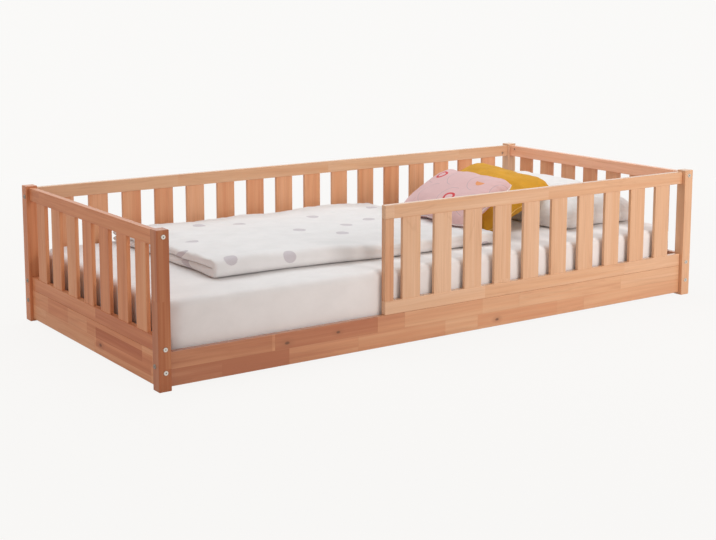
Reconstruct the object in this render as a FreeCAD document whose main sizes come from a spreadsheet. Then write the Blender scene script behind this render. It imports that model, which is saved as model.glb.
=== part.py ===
"""Toddler floor bed: a low slatted wooden bed for a 900 x 2000 mm mattress, with its bedding.

The origin is on the floor at the middle of the bed, +X runs along the bed to the pillow end, +Y to the back
and +Z up. All sizes are in millimetres, and all angles in degrees. Every side of the bed is a panel between
two posts, made in its own upright frame: x along the panel, y through it from the outer to the inner face,
z up.
"""
import FreeCAD, Part
import math
import os
import re

import Sketcher
from FreeCAD import Placement, Rotation, Vector

DOC = FreeCAD.newDocument("toddler_floor_bed")
SHEET = DOC.addObject("Spreadsheet::Sheet", "Sizes")

DRIVING = (
    ("mattress_length", 2000, "foam mattress"),
    ("mattress_width", 900, "foam mattress"),
    ("mattress_height", 173, "foam mattress"),
    ("mattress_round", 22, "rounding of the mattress edges"),
    ("end_gap", 10, "mattress to the inner face of an end panel"),
    ("side_gap", 6, "mattress to the inner face of a long panel"),
    ("lying_height", 64, "top of the slatted base above the floor"),
    ("post_size", 38, "side of the square posts"),
    ("post_height", 446, "overall height of the frame"),
    ("post_above_rail", 6, "post top above the top rails"),
    ("rail_height", 42, "top and bottom rails"),
    ("rail_thickness", 20, "boards, rails and stile"),
    ("board_height", 97, "low boards"),
    ("floor_gap", 8, "boards above the floor"),
    ("end_inset", 10, "outer face of an end panel behind the post faces"),
    ("side_inset", 14, "outer face of a long panel behind the post faces"),
    ("edge_round", 2, "rounding of all timber edges"),
    ("slat_width", 68, "upright slats"),
    ("slat_thickness", 12, "upright slats"),
    ("long_slats", 16, "upright slats of the back panel"),
    ("long_slat_end_gap", 60.5, "outermost slat of the back panel to the post"),
    ("end_slats", 7, "upright slats of an end panel"),
    ("end_slat_end_gap", 55, "outermost slat of an end panel to the post"),
    ("slat_setback", 2, "slat face behind the outer face of the rails"),
    ("tenon_length", 12, "tenons of slats and stile"),
    ("tenon_thickness", 7, "tenons of slats and stile"),
    ("tenon_shoulder", 6, "shoulder each side of a tenon"),
    ("tenon_play", 0.2, "clearance round a tenon"),
    ("guard_slats", 10, "upright slats of the fall guard"),
    ("stile_width", 32, "end stile of the fall guard"),
    ("stile_gap", 34, "clear gap from the stile to the first guard slat"),
    ("ledger_size", 25, "square ledger strips under the slatted base"),
    ("ledger_end_gap", 12, "ledger end to the posts"),
    ("base_slat_width", 70, "cross slats of the base"),
    ("base_slat_thickness", 18, "cross slats of the base"),
    ("base_slat_pitch", 150, "cross slats of the base"),
    ("base_slat_play", 1, "cross slat end to the long boards"),
    ("bolt_radius", 3, "connector bolt shank"),
    ("bolt_head_radius", 7, "connector bolt head"),
    ("bolt_head_bevel", 0.8, "connector bolt head"),
    ("bolt_head_height", 2.5, "connector bolt head"),
    ("bolt_past_nut", 8, "bolt end beyond the middle of its nut"),
    ("bolt_play", 0.4, "clearance round a bolt"),
    ("bolt_stagger", 8, "bolts above or below the middle of their rail"),
    ("board_bolt_height", 61, "middle of the two bolt heights of the boards"),
    ("socket_radius", 2.3, "hexagon socket of a bolt head, to its corners"),
    ("socket_depth", 1.8, "hexagon socket of a bolt head"),
    ("nut_radius", 5, "barrel nut"),
    ("nut_length", 14, "barrel nut"),
    ("nut_distance", 28, "middle of a barrel nut from the post"),
    ("nut_play", 0.15, "clearance round a barrel nut"),
    ("thread_play", 0.1, "clearance of a bolt in its nut"),
    ("dowel_radius", 4, "board dowels"),
    ("dowel_length", 40, "board dowels"),
    ("dowel_chamfer", 0.8, "board dowels"),
    ("dowel_end_gap", 110, "outermost dowel from the post"),
    ("dowel_pitch", 380, "widest spacing of the board dowels"),
    ("dowel_play", 0.1, "clearance round a dowel"),
    ("screw_radius", 2, "countersunk wood screws"),
    ("screw_head_radius", 4, "countersunk wood screws"),
    ("screw_head_height", 2.4, "countersunk wood screws"),
    ("screw_tip_length", 4, "countersunk wood screws"),
    ("screw_drive_radius", 1.6, "drive socket of a wood screw, to its corners"),
    ("screw_drive_depth", 1.5, "drive socket of a wood screw"),
    ("screw_play", 0.15, "clearance round a screw"),
    ("screw_stock", 5, "timber left beyond the tip of a screw"),
    ("sheet_thickness", 1.2, "fitted sheet"),
    ("sheet_play", 0.2, "fitted sheet to the mattress"),
    ("sheet_turn_under", 110, "rim of the fitted sheet under the mattress"),
    ("rest_gap", 0.3, "soft pieces to what they lie on"),
    ("seam_height", 8, "thickness of a pillow or cushion at its seam"),
    ("seam_draw", 0.05, "share by which the sides of a filled cover pull in"),
    ("pillow_length", 742, "head pillow, across the bed"),
    ("pillow_width", 386, "head pillow, along the bed"),
    ("pillow_up", 96, "crown of the head pillow above its seam"),
    ("pillow_down", 44, "underside of the head pillow below its seam"),
    ("pillow_head_gap", 14, "head pillow to the head end of the mattress"),
    ("pillow_back_gap", 5, "head pillow to the back edge of the mattress"),
    ("back_cushion_size", 370, "yellow scatter cushion, filled"),
    ("back_cushion_up", 62, "crown of the yellow cushion above its seam"),
    ("back_cushion_down", 44, "underside of the yellow cushion below its seam"),
    ("back_cushion_reach", 306, "its middle before the middle of the pillow, along the bed"),
    ("back_cushion_offset", 74, "its middle before the middle of the pillow, across the bed"),
    ("back_cushion_lift", 92, "its middle above the sheet"),
    ("back_cushion_lean", 20.8, "slope of the yellow cushion up to the pillow"),
    ("back_cushion_roll", 6.4, "slope of the yellow cushion up to the back"),
    ("back_cushion_twist", 7, "turn of the yellow cushion about the upright"),
    ("front_cushion_length", 375, "pink scatter cushion, filled, across the bed"),
    ("front_cushion_width", 262, "pink scatter cushion, filled, up its slope"),
    ("front_cushion_up", 58, "crown of the pink cushion above its seam"),
    ("front_cushion_down", 26, "underside of the pink cushion below its seam"),
    ("front_cushion_reach", 173.5, "its middle before the middle of the yellow one, along the bed"),
    ("front_cushion_offset", 67, "its middle before the middle of the yellow one, across the bed"),
    ("front_cushion_lift", 20.6, "its middle above the middle of the yellow one"),
    ("front_cushion_lean", 29, "slope of the pink cushion up to the pillow"),
    ("duvet_foot_gap", 245, "folded duvet to the foot end of the mattress"),
    ("duvet_head_gap", 22, "folded duvet to the yellow cushion"),
    ("duvet_front_gap", 120, "folded duvet to the front edge of the mattress"),
    ("duvet_foot_draw", 38, "front fold of the duvet drawn back at the foot end"),
    ("duvet_back_gap", 25, "folded duvet to the back edge of the mattress"),
    ("duvet_fold_height", 66, "front fold of the duvet at its highest"),
    ("duvet_flat_height", 43, "folded duvet away from its front fold"),
    ("duvet_slit_level", 31, "slit between the folded layers above the sheet"),
    ("duvet_slit_height", 5, "mouth of the slit between the folded layers"),
    ("duvet_slit_depth", 45, "slit between the folded layers into the foot end"),
)

DERIVED = (
    ("half_length", "mattress_length / 2 + end_gap + rail_thickness + end_inset"),
    ("half_width", "mattress_width / 2 + side_gap + rail_thickness + side_inset"),
    ("post_inner_x", "half_length - post_size"),
    ("post_inner_y", "half_width - post_size"),
    ("end_plane", "mattress_length / 2 + end_gap + rail_thickness / 2"),
    ("side_plane", "mattress_width / 2 + side_gap + rail_thickness / 2"),
    ("side_inner", "side_plane - rail_thickness / 2"),
    ("board_top", "floor_gap + board_height"),
    ("low_rail_top", "board_top + rail_height"),
    ("top_rail_top", "post_height - post_above_rail"),
    ("slat_top", "top_rail_top - rail_height"),
    ("slat_height", "slat_top - low_rail_top"),
    ("long_slat_pitch", "(2 * (post_inner_x - long_slat_end_gap) - slat_width) / (long_slats - 1)"),
    ("end_slat_pitch", "(2 * (post_inner_y - end_slat_end_gap) - slat_width) / (end_slats - 1)"),
    ("slat_line", "slat_setback + slat_thickness / 2 - rail_thickness / 2"),
    ("bolt_length", "post_size + nut_distance + bolt_past_nut"),
    ("ledger_top", "lying_height - base_slat_thickness"),
    ("ledger_inset", "rail_thickness / 2 + ledger_size / 2"),
    ("ledger_level", "ledger_top - ledger_size / 2"),
    ("ledger_screw_length", "ledger_size + rail_thickness - screw_stock"),
    ("base_screw_length", "base_slat_thickness + ledger_size - screw_stock"),
    ("mattress_bottom", "lying_height + sheet_thickness + sheet_play"),
    ("sheet_skin", "sheet_thickness + sheet_play"),
    ("bedding_bottom", "mattress_bottom + mattress_height + sheet_skin + rest_gap"),
    ("pillow_x", "mattress_length / 2 - pillow_head_gap - pillow_width / 2"),
    ("pillow_y", "mattress_width / 2 - pillow_back_gap - pillow_length / 2"),
    ("back_cushion_x", "pillow_x - back_cushion_reach"),
    ("back_cushion_y", "pillow_y - back_cushion_offset"),
    ("back_cushion_z", "bedding_bottom + back_cushion_lift"),
    ("front_cushion_x", "back_cushion_x - front_cushion_reach"),
    ("front_cushion_y", "back_cushion_y - front_cushion_offset"),
    ("front_cushion_z", "back_cushion_z + front_cushion_lift"),
    ("duvet_foot_x", "duvet_foot_gap - mattress_length / 2"),
    ("duvet_head_x", "back_cushion_x - back_cushion_size / 2 - duvet_head_gap"),
    ("duvet_front_y", "duvet_front_gap - mattress_width / 2"),
    ("duvet_back_y", "mattress_width / 2 - duvet_back_gap"),
)

NAMES = {row[0] for row in DRIVING + DERIVED}


def sized(text):
    """Point every size named in an expression at its cell of the sheet."""
    return re.sub(r"[a-z_]+", lambda word: ("Sizes." if word.group() in NAMES else "") + word.group(), text)


def fill_sheet():
    """Write the driving sizes as plain numbers, and the sizes that follow from them as formulas."""
    rows = [(name, str(number), meaning) for name, number, meaning in DRIVING]
    rows += [(name, "=" + formula, "follows") for name, formula in DERIVED]
    for row, (name, content, meaning) in enumerate(rows, start=1):
        SHEET.set("A%d" % row, name)
        SHEET.set("B%d" % row, content)
        SHEET.set("C%d" % row, meaning)
        SHEET.setAlias("B%d" % row, name)
    DOC.recompute()


fill_sheet()


def size(text):
    """Work out an expression in the names of the sizes."""
    return float(SHEET.evalExpression(sized(text)))


def bind(item, prop, text):
    """Tie a property to an expression in the names of the sizes."""
    item.setExpression(prop, sized(text))


def place(item, spot, turn=Rotation()):
    """Turn an object, and tie its position to three expressions."""
    item.Placement = Placement(Vector(), turn)
    for axis, text in zip("xyz", spot):
        bind(item, "Placement.Base." + axis, text)
    return item


def towards(direction):
    """The turn that points the upright axis along a direction."""
    return Rotation(Vector(0, 0, 1), Vector(*direction))


# Simple solids and their combinations


def block(name, sides, corner):
    """A plain box between its low corner and its three sides."""
    item = DOC.addObject("Part::Box", name)
    for prop, text in zip(("Length", "Width", "Height"), sides):
        bind(item, prop, text)
    return place(item, corner)


def rod(name, radius, length, start, direction=(0, 0, 1)):
    """A round bar from a starting point along a direction."""
    item = DOC.addObject("Part::Cylinder", name)
    bind(item, "Radius", radius)
    bind(item, "Height", length)
    return place(item, start, towards(direction))


def cone(name, first_radius, last_radius, length, start, direction=(0, 0, 1)):
    """A round bar that tapers from a starting point along a direction."""
    item = DOC.addObject("Part::Cone", name)
    bind(item, "Radius1", first_radius)
    bind(item, "Radius2", last_radius)
    bind(item, "Height", length)
    return place(item, start, towards(direction))


def hexagon(name, radius, length, start):
    """An upright hexagonal bar."""
    item = DOC.addObject("Part::Prism", name)
    item.Polygon = 6
    bind(item, "Circumradius", radius)
    bind(item, "Height", length)
    return place(item, start)


def joined(name, items):
    """Several touching solids as one."""
    item = DOC.addObject("Part::MultiFuse", name)
    item.Shapes = items
    return item


def cut(name, base, tools):
    """A solid less its holes."""
    item = DOC.addObject("Part::Cut", name)
    item.Base = base
    item.Tool = tools[0] if len(tools) == 1 else joined(name + "_tools", tools)
    return item


def group(name, master, spots):
    """Copies of one master solid as one sub-part of separate solids."""
    copies = []
    for number, (spot, turn) in enumerate(spots, start=1):
        copy = DOC.addObject("App::Link", "%s_%d" % (name, number))
        copy.LinkedObject = master
        copies.append(place(copy, spot, turn))
    item = DOC.addObject("Part::Compound", name)
    item.Links = copies
    return item


# Timber


def section(body, plane, width, height, level="0"):
    """A rectangular sketch on one of the body's own planes, its middle at a level above the origin."""
    sketch = body.newObject("Sketcher::SketchObject", body.Name + "_section")
    origin_plane = [item for item in body.Origin.OriginFeatures if item.Role == plane][0]
    sketch.AttachmentSupport = (origin_plane, [""])
    sketch.MapMode = "FlatFace"
    corners = [Vector(-10, -10, 0), Vector(10, -10, 0), Vector(10, 10, 0), Vector(-10, 10, 0)]
    for start, end in zip(corners, corners[1:] + corners[:1]):
        sketch.addGeometry(Part.LineSegment(start, end))
    for line in range(4):
        sketch.addConstraint(Sketcher.Constraint("Coincident", line, 2, (line + 1) % 4, 1))
        sketch.addConstraint(Sketcher.Constraint("Vertical" if line % 2 else "Horizontal", line))
    sketch.addConstraint(Sketcher.Constraint("Symmetric", 0, 1, 2, 1, -1, 1))
    wide = sketch.addConstraint(Sketcher.Constraint("DistanceX", 0, 1, 0, 2, 20))
    bind(sketch, "Constraints[%d]" % wide, width)
    high = sketch.addConstraint(Sketcher.Constraint("DistanceY", 1, 1, 1, 2, 20))
    bind(sketch, "Constraints[%d]" % high, height)
    bind(sketch, "AttachmentOffset.Base.y", level)
    return sketch


def pad(body, sketch, length, start="0"):
    """Pad a sketch along its normal, from a start to one side of its plane."""
    bind(sketch, "AttachmentOffset.Base.z", start)
    feature = body.newObject("PartDesign::Pad", sketch.Name + "_pad")
    feature.Profile = sketch
    bind(feature, "Length", length)
    body.Tip = feature
    return feature


def rounded(body, feature, radius, edges=None):
    """Round the named edges of a feature, or all of them."""
    fillet = body.newObject("PartDesign::Fillet", feature.Name + "_round")
    fillet.Base = (feature, edges or [""])
    fillet.UseAllEdges = edges is None
    bind(fillet, "Radius", radius)
    body.Tip = fillet
    return fillet


def timber(name, plane, width, height, length, start="0", level="0", radius="edge_round"):
    """A straight piece with all its edges rounded: a section on a plane, padded square to it."""
    body = DOC.addObject("PartDesign::Body", name)
    rounded(body, pad(body, section(body, plane, width, height, level), length, start), radius)
    return body


def upright(name, width, thickness):
    """An upright between two rails, with rounded long edges and a tenon at each end."""
    body = DOC.addObject("PartDesign::Body", name)
    shaft = pad(body, section(body, "XY_Plane", width, thickness), "slat_height", "low_rail_top")
    DOC.recompute()
    long_edges = ["Edge%d" % number for number, edge in enumerate(shaft.Shape.Edges, start=1)
                  if edge.BoundBox.ZLength > edge.BoundBox.XLength + edge.BoundBox.YLength]
    rounded(body, shaft, "edge_round", long_edges)
    tongue = section(body, "XY_Plane", width + " - 2 * tenon_shoulder", "tenon_thickness")
    pad(body, tongue, "slat_height + 2 * tenon_length", "low_rail_top - tenon_length")
    return body


# Panels


class Panel:
    """One side of the bed: where it stands, its run between the posts, and its bolt heights.

    The bolts of a long panel and an end panel cross in the post that they share, so one of the two has its
    bolts above the middle of each rail and the other below it.
    """

    def __init__(self, name, degrees, centre, run, above):
        self.name = name
        self.turn = Rotation(Vector(0, 0, 1), degrees)
        self.centre = centre
        self.run = run
        self.board_bolt = "board_bolt_height - %d * bolt_stagger" % above
        self.low_bolt = "board_top + rail_height / 2 - %d * bolt_stagger" % above
        self.top_bolt = "slat_top + rail_height / 2 + %d * bolt_stagger" % above

    def spot(self, along, through, level):
        """A point of the panel's own frame as a point of the bed."""
        steps = (self.turn.multVec(Vector(1, 0, 0)), self.turn.multVec(Vector(0, 1, 0)))
        flat = ["%s + %d * (%s) + %d * (%s)" % (base, round(steps[0][axis]), along, round(steps[1][axis]), through)
                for axis, base in enumerate(self.centre)]
        return flat + [level]

    def stand(self, item):
        """Put an object made in the panel's own frame where the panel stands."""
        return place(item, self.centre + ("0",), self.turn)


FRONT = Panel("front", 0, ("0", "-side_plane"), "post_inner_x", -1)
REAR = Panel("rear", 180, ("0", "side_plane"), "post_inner_x", -1)
LEFT = Panel("left", -90, ("-end_plane", "0"), "post_inner_y", 1)
RIGHT = Panel("right", 90, ("end_plane", "0"), "post_inner_y", 1)


def even_spots(count, pitch):
    """Places along a panel or along the bed, evenly about its middle."""
    return ["%g * %s" % (number - (count - 1) / 2, pitch) for number in range(count)]


def dowel_spots(start, end):
    """Even dowel places from a start to an end along a panel."""
    steps = math.ceil(size("((%s) - (%s)) / dowel_pitch" % (end, start)))
    return ["(%s) + %d / %d * ((%s) - (%s))" % (start, step, steps, end, start) for step in range(steps + 1)]


REAR_SLATS = even_spots(int(size("long_slats")), "long_slat_pitch")
END_SLATS = even_spots(int(size("end_slats")), "end_slat_pitch")
GUARD_SLATS = REAR_SLATS[-int(size("guard_slats")):]
STILE = GUARD_SLATS[0] + " - slat_width / 2 - stile_gap - stile_width / 2"
GUARD_START = STILE + " - stile_width / 2"

REAR_DOWELS = dowel_spots("dowel_end_gap - post_inner_x", "post_inner_x - dowel_end_gap")
END_DOWELS = dowel_spots("dowel_end_gap - post_inner_y", "post_inner_y - dowel_end_gap")
GUARD_DOWELS = dowel_spots(GUARD_START + " + dowel_end_gap / 2", "post_inner_x - dowel_end_gap")

BASE_COUNT = int(size("mattress_length / base_slat_pitch"))
BASE_SLATS = even_spots(BASE_COUNT, "base_slat_pitch")
LEDGER_SCREWS = even_spots(BASE_COUNT - 1, "base_slat_pitch")[::2]


def end_bores(panel, level, sides):
    """Bolt bores into the ends of a rail or board, and the barrel nut bores that they meet."""
    tools = []
    for side in sides:
        end = "%d * %s" % (side, panel.run)
        tools.append(rod("bolt_bore", "bolt_radius + bolt_play", "nut_distance + bolt_past_nut + bolt_play",
                         (end, "0", level), (-side, 0, 0)))
        tools.append(rod("nut_bore", "nut_radius + nut_play", "rail_thickness / 2 + nut_length / 2 + nut_play",
                         ("%s - %d * nut_distance" % (end, side), "rail_thickness / 2", level), (0, -1, 0)))
    return tools


def mortise(width, spot, line, level):
    """A mortise for the tenon of an upright of a given width."""
    return block("mortise", (width + " - 2 * tenon_shoulder + 2 * tenon_play", "tenon_thickness + 2 * tenon_play",
                             "tenon_length + tenon_play"),
                 ("%s - (%s) / 2 + tenon_shoulder - tenon_play" % (spot, width),
                  line + " - tenon_thickness / 2 - tenon_play", level))


def mortises(spots, stile, level):
    """Mortises along a rail for its slats, and for the stile where it has one."""
    tools = [mortise("slat_width", spot, "slat_line", level) for spot in spots]
    return tools + [mortise("stile_width", spot, "0", level) for spot in stile]


def dowel_bores(spots, direction):
    """Dowel bores up or down from the joint of a board and its bottom rail."""
    return [rod("dowel_bore", "dowel_radius + dowel_play", "dowel_length / 2 + dowel_play",
                (spot, "0", "board_top"), (0, 0, direction)) for spot in spots]


def lengthwise(name, panel, height, bottom, start, tools):
    """A rail or board of a panel, from a start to its right-hand post, less its holes."""
    blank = timber(name + "_blank", "YZ_Plane", "rail_thickness", height, "%s - (%s)" % (panel.run, start), start,
                   "%s + %s / 2" % (bottom, height))
    return panel.stand(cut(name, blank, tools))


def board(panel, dowels, screws=()):
    """The low board of a panel, with pilot bores for the screws of a ledger."""
    pilots = [rod("pilot", "screw_radius + screw_play", "rail_thickness - screw_stock + screw_play",
                  (spot, "rail_thickness / 2", "ledger_level"), (0, -1, 0)) for spot in screws]
    tools = end_bores(panel, panel.board_bolt, (-1, 1)) + dowel_bores(dowels, -1) + pilots
    return lengthwise(panel.name + "_board", panel, "board_height", "floor_gap", "-" + panel.run, tools)


def rails(panel, name, start, slats, dowels, sides, stile=()):
    """The bottom and top rails of a panel or of the fall guard."""
    low = end_bores(panel, panel.low_bolt, sides) + dowel_bores(dowels, 1)
    low += mortises(slats, stile, "low_rail_top - tenon_length - tenon_play")
    top = end_bores(panel, panel.top_bolt, sides) + mortises(slats, stile, "slat_top")
    return [lengthwise(name + "_bottom_rail", panel, "rail_height", "board_top", start, low),
            lengthwise(name + "_top_rail", panel, "rail_height", "slat_top", start, top)]


def slats(panel, name, spots):
    """The upright slats of a panel, each a sub-part of its own."""
    items = []
    for number, spot in enumerate(spots, start=1):
        item = upright("%s_slat_%d" % (name, number), "slat_width", "slat_thickness")
        items.append(place(item, panel.spot(spot, "slat_line", "0"), panel.turn))
    return items


def closed_panel(panel, spots, dowels, screws=()):
    """Board and rails of a side that is closed from post to post."""
    return [board(panel, dowels, screws)] + rails(panel, panel.name, "-" + panel.run, spots, dowels, (-1, 1))


def fall_guard():
    """Rails, stile and slats of the guard on the head half of the front."""
    stile = place(upright("guard_end_stile", "stile_width", "rail_thickness"), FRONT.spot(STILE, "0", "0"))
    return (rails(FRONT, "guard", GUARD_START, GUARD_SLATS, GUARD_DOWELS, (1,), (STILE,)) + [stile]
            + slats(FRONT, "guard", GUARD_SLATS))


def rear_slats():
    """The slats of the back panel, as one group."""
    master = upright("rear_slat", "slat_width", "slat_thickness")
    spots = [(REAR.spot(spot, "slat_line", "0"), REAR.turn) for spot in REAR_SLATS]
    return group("rear_slats", master, spots)


# Posts and connector bolts


def connectors():
    """Every connector bolt: its panel, which end of it, its height, and the post that it passes."""
    joints = []
    for panel in (FRONT, REAR, LEFT, RIGHT):
        for end in (-1, 1):
            levels = [panel.board_bolt, panel.low_bolt, panel.top_bolt]
            if panel is FRONT and end < 0:
                levels = levels[:1]
            outward = panel.turn.multVec(Vector(end, 0, 0))
            across = panel.turn.multVec(Vector(0, -1, 0))
            corner = (round(outward.x + across.x), round(outward.y + across.y))
            joints += [(panel, end, level, outward, corner) for level in levels]
    return joints


CONNECTORS = connectors()


def post(name, corner):
    """A corner post with the bores of the bolts that pass it."""
    blank = timber(name + "_blank", "XY_Plane", "post_size", "post_size", "post_height")
    place(blank, ("%d * (half_length - post_size / 2)" % corner[0], "%d * (half_width - post_size / 2)" % corner[1],
                  "0"))
    bores = [rod("post_bore", "bolt_radius + bolt_play", "post_size",
                 panel.spot("%d * %s" % (end, panel.run), "0", level), outward)
             for panel, end, level, outward, at in CONNECTORS if at == corner]
    return cut(name, blank, bores)


def posts():
    """The four corner posts."""
    sides = (("front", -1), ("rear", 1))
    ends = (("left", -1), ("right", 1))
    return [post("%s_%s_post" % (side, end), (x, y)) for side, y in sides for end, x in ends]


def connector_bolts():
    """Socket-head bolts through the posts into the barrel nuts."""
    head = cone("bolt_head", "bolt_head_radius", "bolt_head_radius - bolt_head_bevel", "bolt_head_height",
                ("0", "0", "0"))
    shank = rod("bolt_shank", "bolt_radius", "bolt_length", ("0", "0", "0"), (0, 0, -1))
    socket = hexagon("bolt_socket", "socket_radius", "socket_depth", ("0", "0", "bolt_head_height - socket_depth"))
    master = cut("connector_bolt", joined("bolt_solid", [head, shank]), [socket])
    spots = [(panel.spot("%d * (%s + post_size)" % (end, panel.run), "0", level), towards(outward))
             for panel, end, level, outward, _ in CONNECTORS]
    return group("connector_bolts", master, spots)


def barrel_nuts():
    """Cross-bored barrel nuts in the rails and boards."""
    barrel = rod("nut_barrel", "nut_radius", "nut_length", ("0", "0", "-nut_length / 2"))
    thread = rod("nut_thread", "bolt_radius + thread_play", "2 * nut_radius", ("-nut_radius", "0", "0"), (1, 0, 0))
    master = cut("barrel_nut", barrel, [thread])
    lying = Rotation(Vector(1, 0, 0), 90)
    spots = [(panel.spot("%d * (%s - nut_distance)" % (end, panel.run), "0", level), panel.turn.multiply(lying))
             for panel, end, level, _, _ in CONNECTORS]
    return group("barrel_nuts", master, spots)


def board_dowels():
    """Dowels between the boards and the bottom rails on them."""
    master = DOC.addObject("PartDesign::Body", "board_dowel")
    pin = master.newObject("PartDesign::AdditiveCylinder", "dowel_pin")
    bind(pin, "Radius", "dowel_radius")
    bind(pin, "Height", "dowel_length")
    bevel = master.newObject("PartDesign::Chamfer", "dowel_bevel")
    bevel.Base = (pin, [""])
    bevel.UseAllEdges = True
    bind(bevel, "Size", "dowel_chamfer")
    master.Tip = bevel
    rows = ((FRONT, GUARD_DOWELS), (REAR, REAR_DOWELS), (LEFT, END_DOWELS), (RIGHT, END_DOWELS))
    spots = [(panel.spot(spot, "0", "board_top - dowel_length / 2"), Rotation()) for panel, row in rows for spot in row]
    return group("board_dowels", master, spots)


# Slatted base


def screw_bore(length, start, direction):
    """A countersunk bore for a wood screw, from the face that it is driven into."""
    return [cone("countersink", "screw_head_radius + screw_play", "screw_radius + screw_play", "screw_head_height",
                 start, direction),
            rod("screw_bore", "screw_radius + screw_play", length, start, direction)]


def wood_screw(name, length):
    """A countersunk wood screw, driven up from its head at the origin."""
    head = cone(name + "_head", "screw_head_radius", "screw_radius", "screw_head_height", ("0", "0", "0"))
    shank = rod(name + "_shank", "screw_radius", length + " - screw_tip_length", ("0", "0", "0"))
    tip = cone(name + "_tip", "screw_radius", "screw_radius / 8", "screw_tip_length",
               ("0", "0", length + " - screw_tip_length"))
    drive = hexagon(name + "_drive", "screw_drive_radius", "screw_drive_depth", ("0", "0", "0"))
    return cut(name, joined(name + "_solid", [head, shank, tip]), [drive])


def ledger(panel):
    """The ledger strip of a long panel, with the bores of its own screws and of the base slat screws."""
    name = panel.name + "_ledger"
    run = "(post_inner_x - ledger_end_gap)"
    blank = timber(name + "_blank", "YZ_Plane", "ledger_size", "ledger_size", "2 * " + run, "-" + run,
                   "ledger_level")
    tools = []
    for spot in LEDGER_SCREWS:
        tools += screw_bore("ledger_size", (spot, "ledger_size / 2", "ledger_level"), (0, -1, 0))
    tools += [rod("slat_pilot", "screw_radius + screw_play", "ledger_size - screw_stock + screw_play",
                  (spot, "0", "ledger_top"), (0, 0, -1)) for spot in BASE_SLATS]
    return place(cut(name, blank, tools), panel.spot("0", "ledger_inset", "0"), panel.turn)


def base_slats():
    """The cross slats of the base, as one group."""
    blank = timber("base_slat_blank", "XZ_Plane", "base_slat_width", "base_slat_thickness",
                   "2 * (side_inner - base_slat_play)", "base_slat_play - side_inner")
    tools = []
    for side in (-1, 1):
        start = ("0", "%d * (side_plane - ledger_inset)" % side, "base_slat_thickness / 2")
        tools += screw_bore("base_slat_thickness", start, (0, 0, -1))
    master = cut("base_slat", blank, tools)
    level = "lying_height - base_slat_thickness / 2"
    return group("base_slats", master, [((spot, "0", level), Rotation()) for spot in BASE_SLATS])


def base_slat_screws():
    """The screws down through both ends of every cross slat."""
    spots = [((spot, "%d * (side_plane - ledger_inset)" % side, "lying_height"), towards((0, 0, -1)))
             for spot in BASE_SLATS for side in (-1, 1)]
    return group("base_slat_screws", wood_screw("base_screw", "base_screw_length"), spots)


def ledger_screws():
    """The screws through the ledgers into the long boards."""
    spots = [(panel.spot(spot, "ledger_inset + ledger_size / 2", "ledger_level"),
              panel.turn.multiply(towards((0, -1, 0)))) for panel in (FRONT, REAR) for spot in LEDGER_SCREWS]
    return group("ledger_screws", wood_screw("ledger_screw", "ledger_screw_length"), spots)


# Mattress and fitted sheet


def cushioned(name, grow):
    """The rounded block of the mattress, grown all round."""
    return timber(name, "XY_Plane", "mattress_length + 2 * (%s)" % grow, "mattress_width + 2 * (%s)" % grow,
                  "mattress_height + 2 * (%s)" % grow, "mattress_bottom - (%s)" % grow,
                  radius="mattress_round + " + grow)


def fitted_sheet():
    """A thin cover over the mattress, turned under it and open below."""
    rim_x = "(mattress_length / 2 - sheet_turn_under)"
    rim_y = "(mattress_width / 2 - sheet_turn_under)"
    opening = block("sheet_opening", ("2 * " + rim_x, "2 * " + rim_y, "mattress_round"),
                    ("-" + rim_x, "-" + rim_y, "lying_height - mattress_round / 2"))
    return cut("fitted_sheet", cushioned("sheet_outside", "sheet_skin"),
               [cushioned("sheet_inside", "sheet_play"), opening])


# Filled covers: lofts through sections of lines and arcs

STATIONS = (-1, -0.9, -0.75, -0.5, -0.25, 0, 0.25, 0.5, 0.75, 0.9, 1)
FLAT_SHARE = 0.45
SHOULDER_SHARE = 0.62
SHOULDER_RISE = 0.84


def arc(start, middle, end):
    """An arc through three points."""
    return Part.Arc(Vector(*start), Vector(*middle), Vector(*end)).toShape()


def line(start, end):
    """A straight edge between two points."""
    return Part.LineSegment(Vector(*start), Vector(*end)).toShape()


def cover_section(x, half, up, down):
    """One closed section of a filled cover: flat underside, seams at both sides, shoulders and crown."""
    seam = size("seam_height") / 2
    rise = up - seam
    drop = down - seam
    shoulder = (SHOULDER_SHARE * half, seam + SHOULDER_RISE * rise)
    lift = (0.5 * (1 + SHOULDER_SHARE) * half + 0.06 * rise, seam + (0.5 * SHOULDER_RISE + 0.1) * rise)
    tuck = (0.5 * (1 + FLAT_SHARE) * half, -seam - 0.66 * drop)
    edges = [line((x, -FLAT_SHARE * half, -down), (x, FLAT_SHARE * half, -down)),
             arc((x, FLAT_SHARE * half, -down), (x, tuck[0], tuck[1]), (x, half, -seam)),
             line((x, half, -seam), (x, half, seam)),
             arc((x, half, seam), (x, lift[0], lift[1]), (x, shoulder[0], shoulder[1])),
             arc((x, shoulder[0], shoulder[1]), (x, 0, up), (x, -shoulder[0], shoulder[1])),
             arc((x, -shoulder[0], shoulder[1]), (x, -lift[0], lift[1]), (x, -half, seam)),
             line((x, -half, seam), (x, -half, -seam)),
             arc((x, -half, -seam), (x, -tuck[0], tuck[1]), (x, -FLAT_SHARE * half, -down))]
    return Part.Wire(edges)


def filled_cover(name, length, width, up, down, placement):
    """A pillow or cushion: thin at its seams, full in the middle, with sides that pull in."""
    seam = size("seam_height") / 2
    sections = []
    for station in STATIONS:
        swell = math.sqrt(1 - abs(station) ** 3)
        half = width / 2 * (1 - size("seam_draw") * (1 - station ** 2))
        sections.append(cover_section(station * length / 2, half, seam + 2 + (up - seam - 2) * swell,
                                      seam + 1 + (down - seam - 1) * swell))
    item = DOC.addObject("Part::Feature", name)
    item.Shape = Part.makeLoft(sections, True, False)
    item.Placement = placement
    return item


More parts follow.
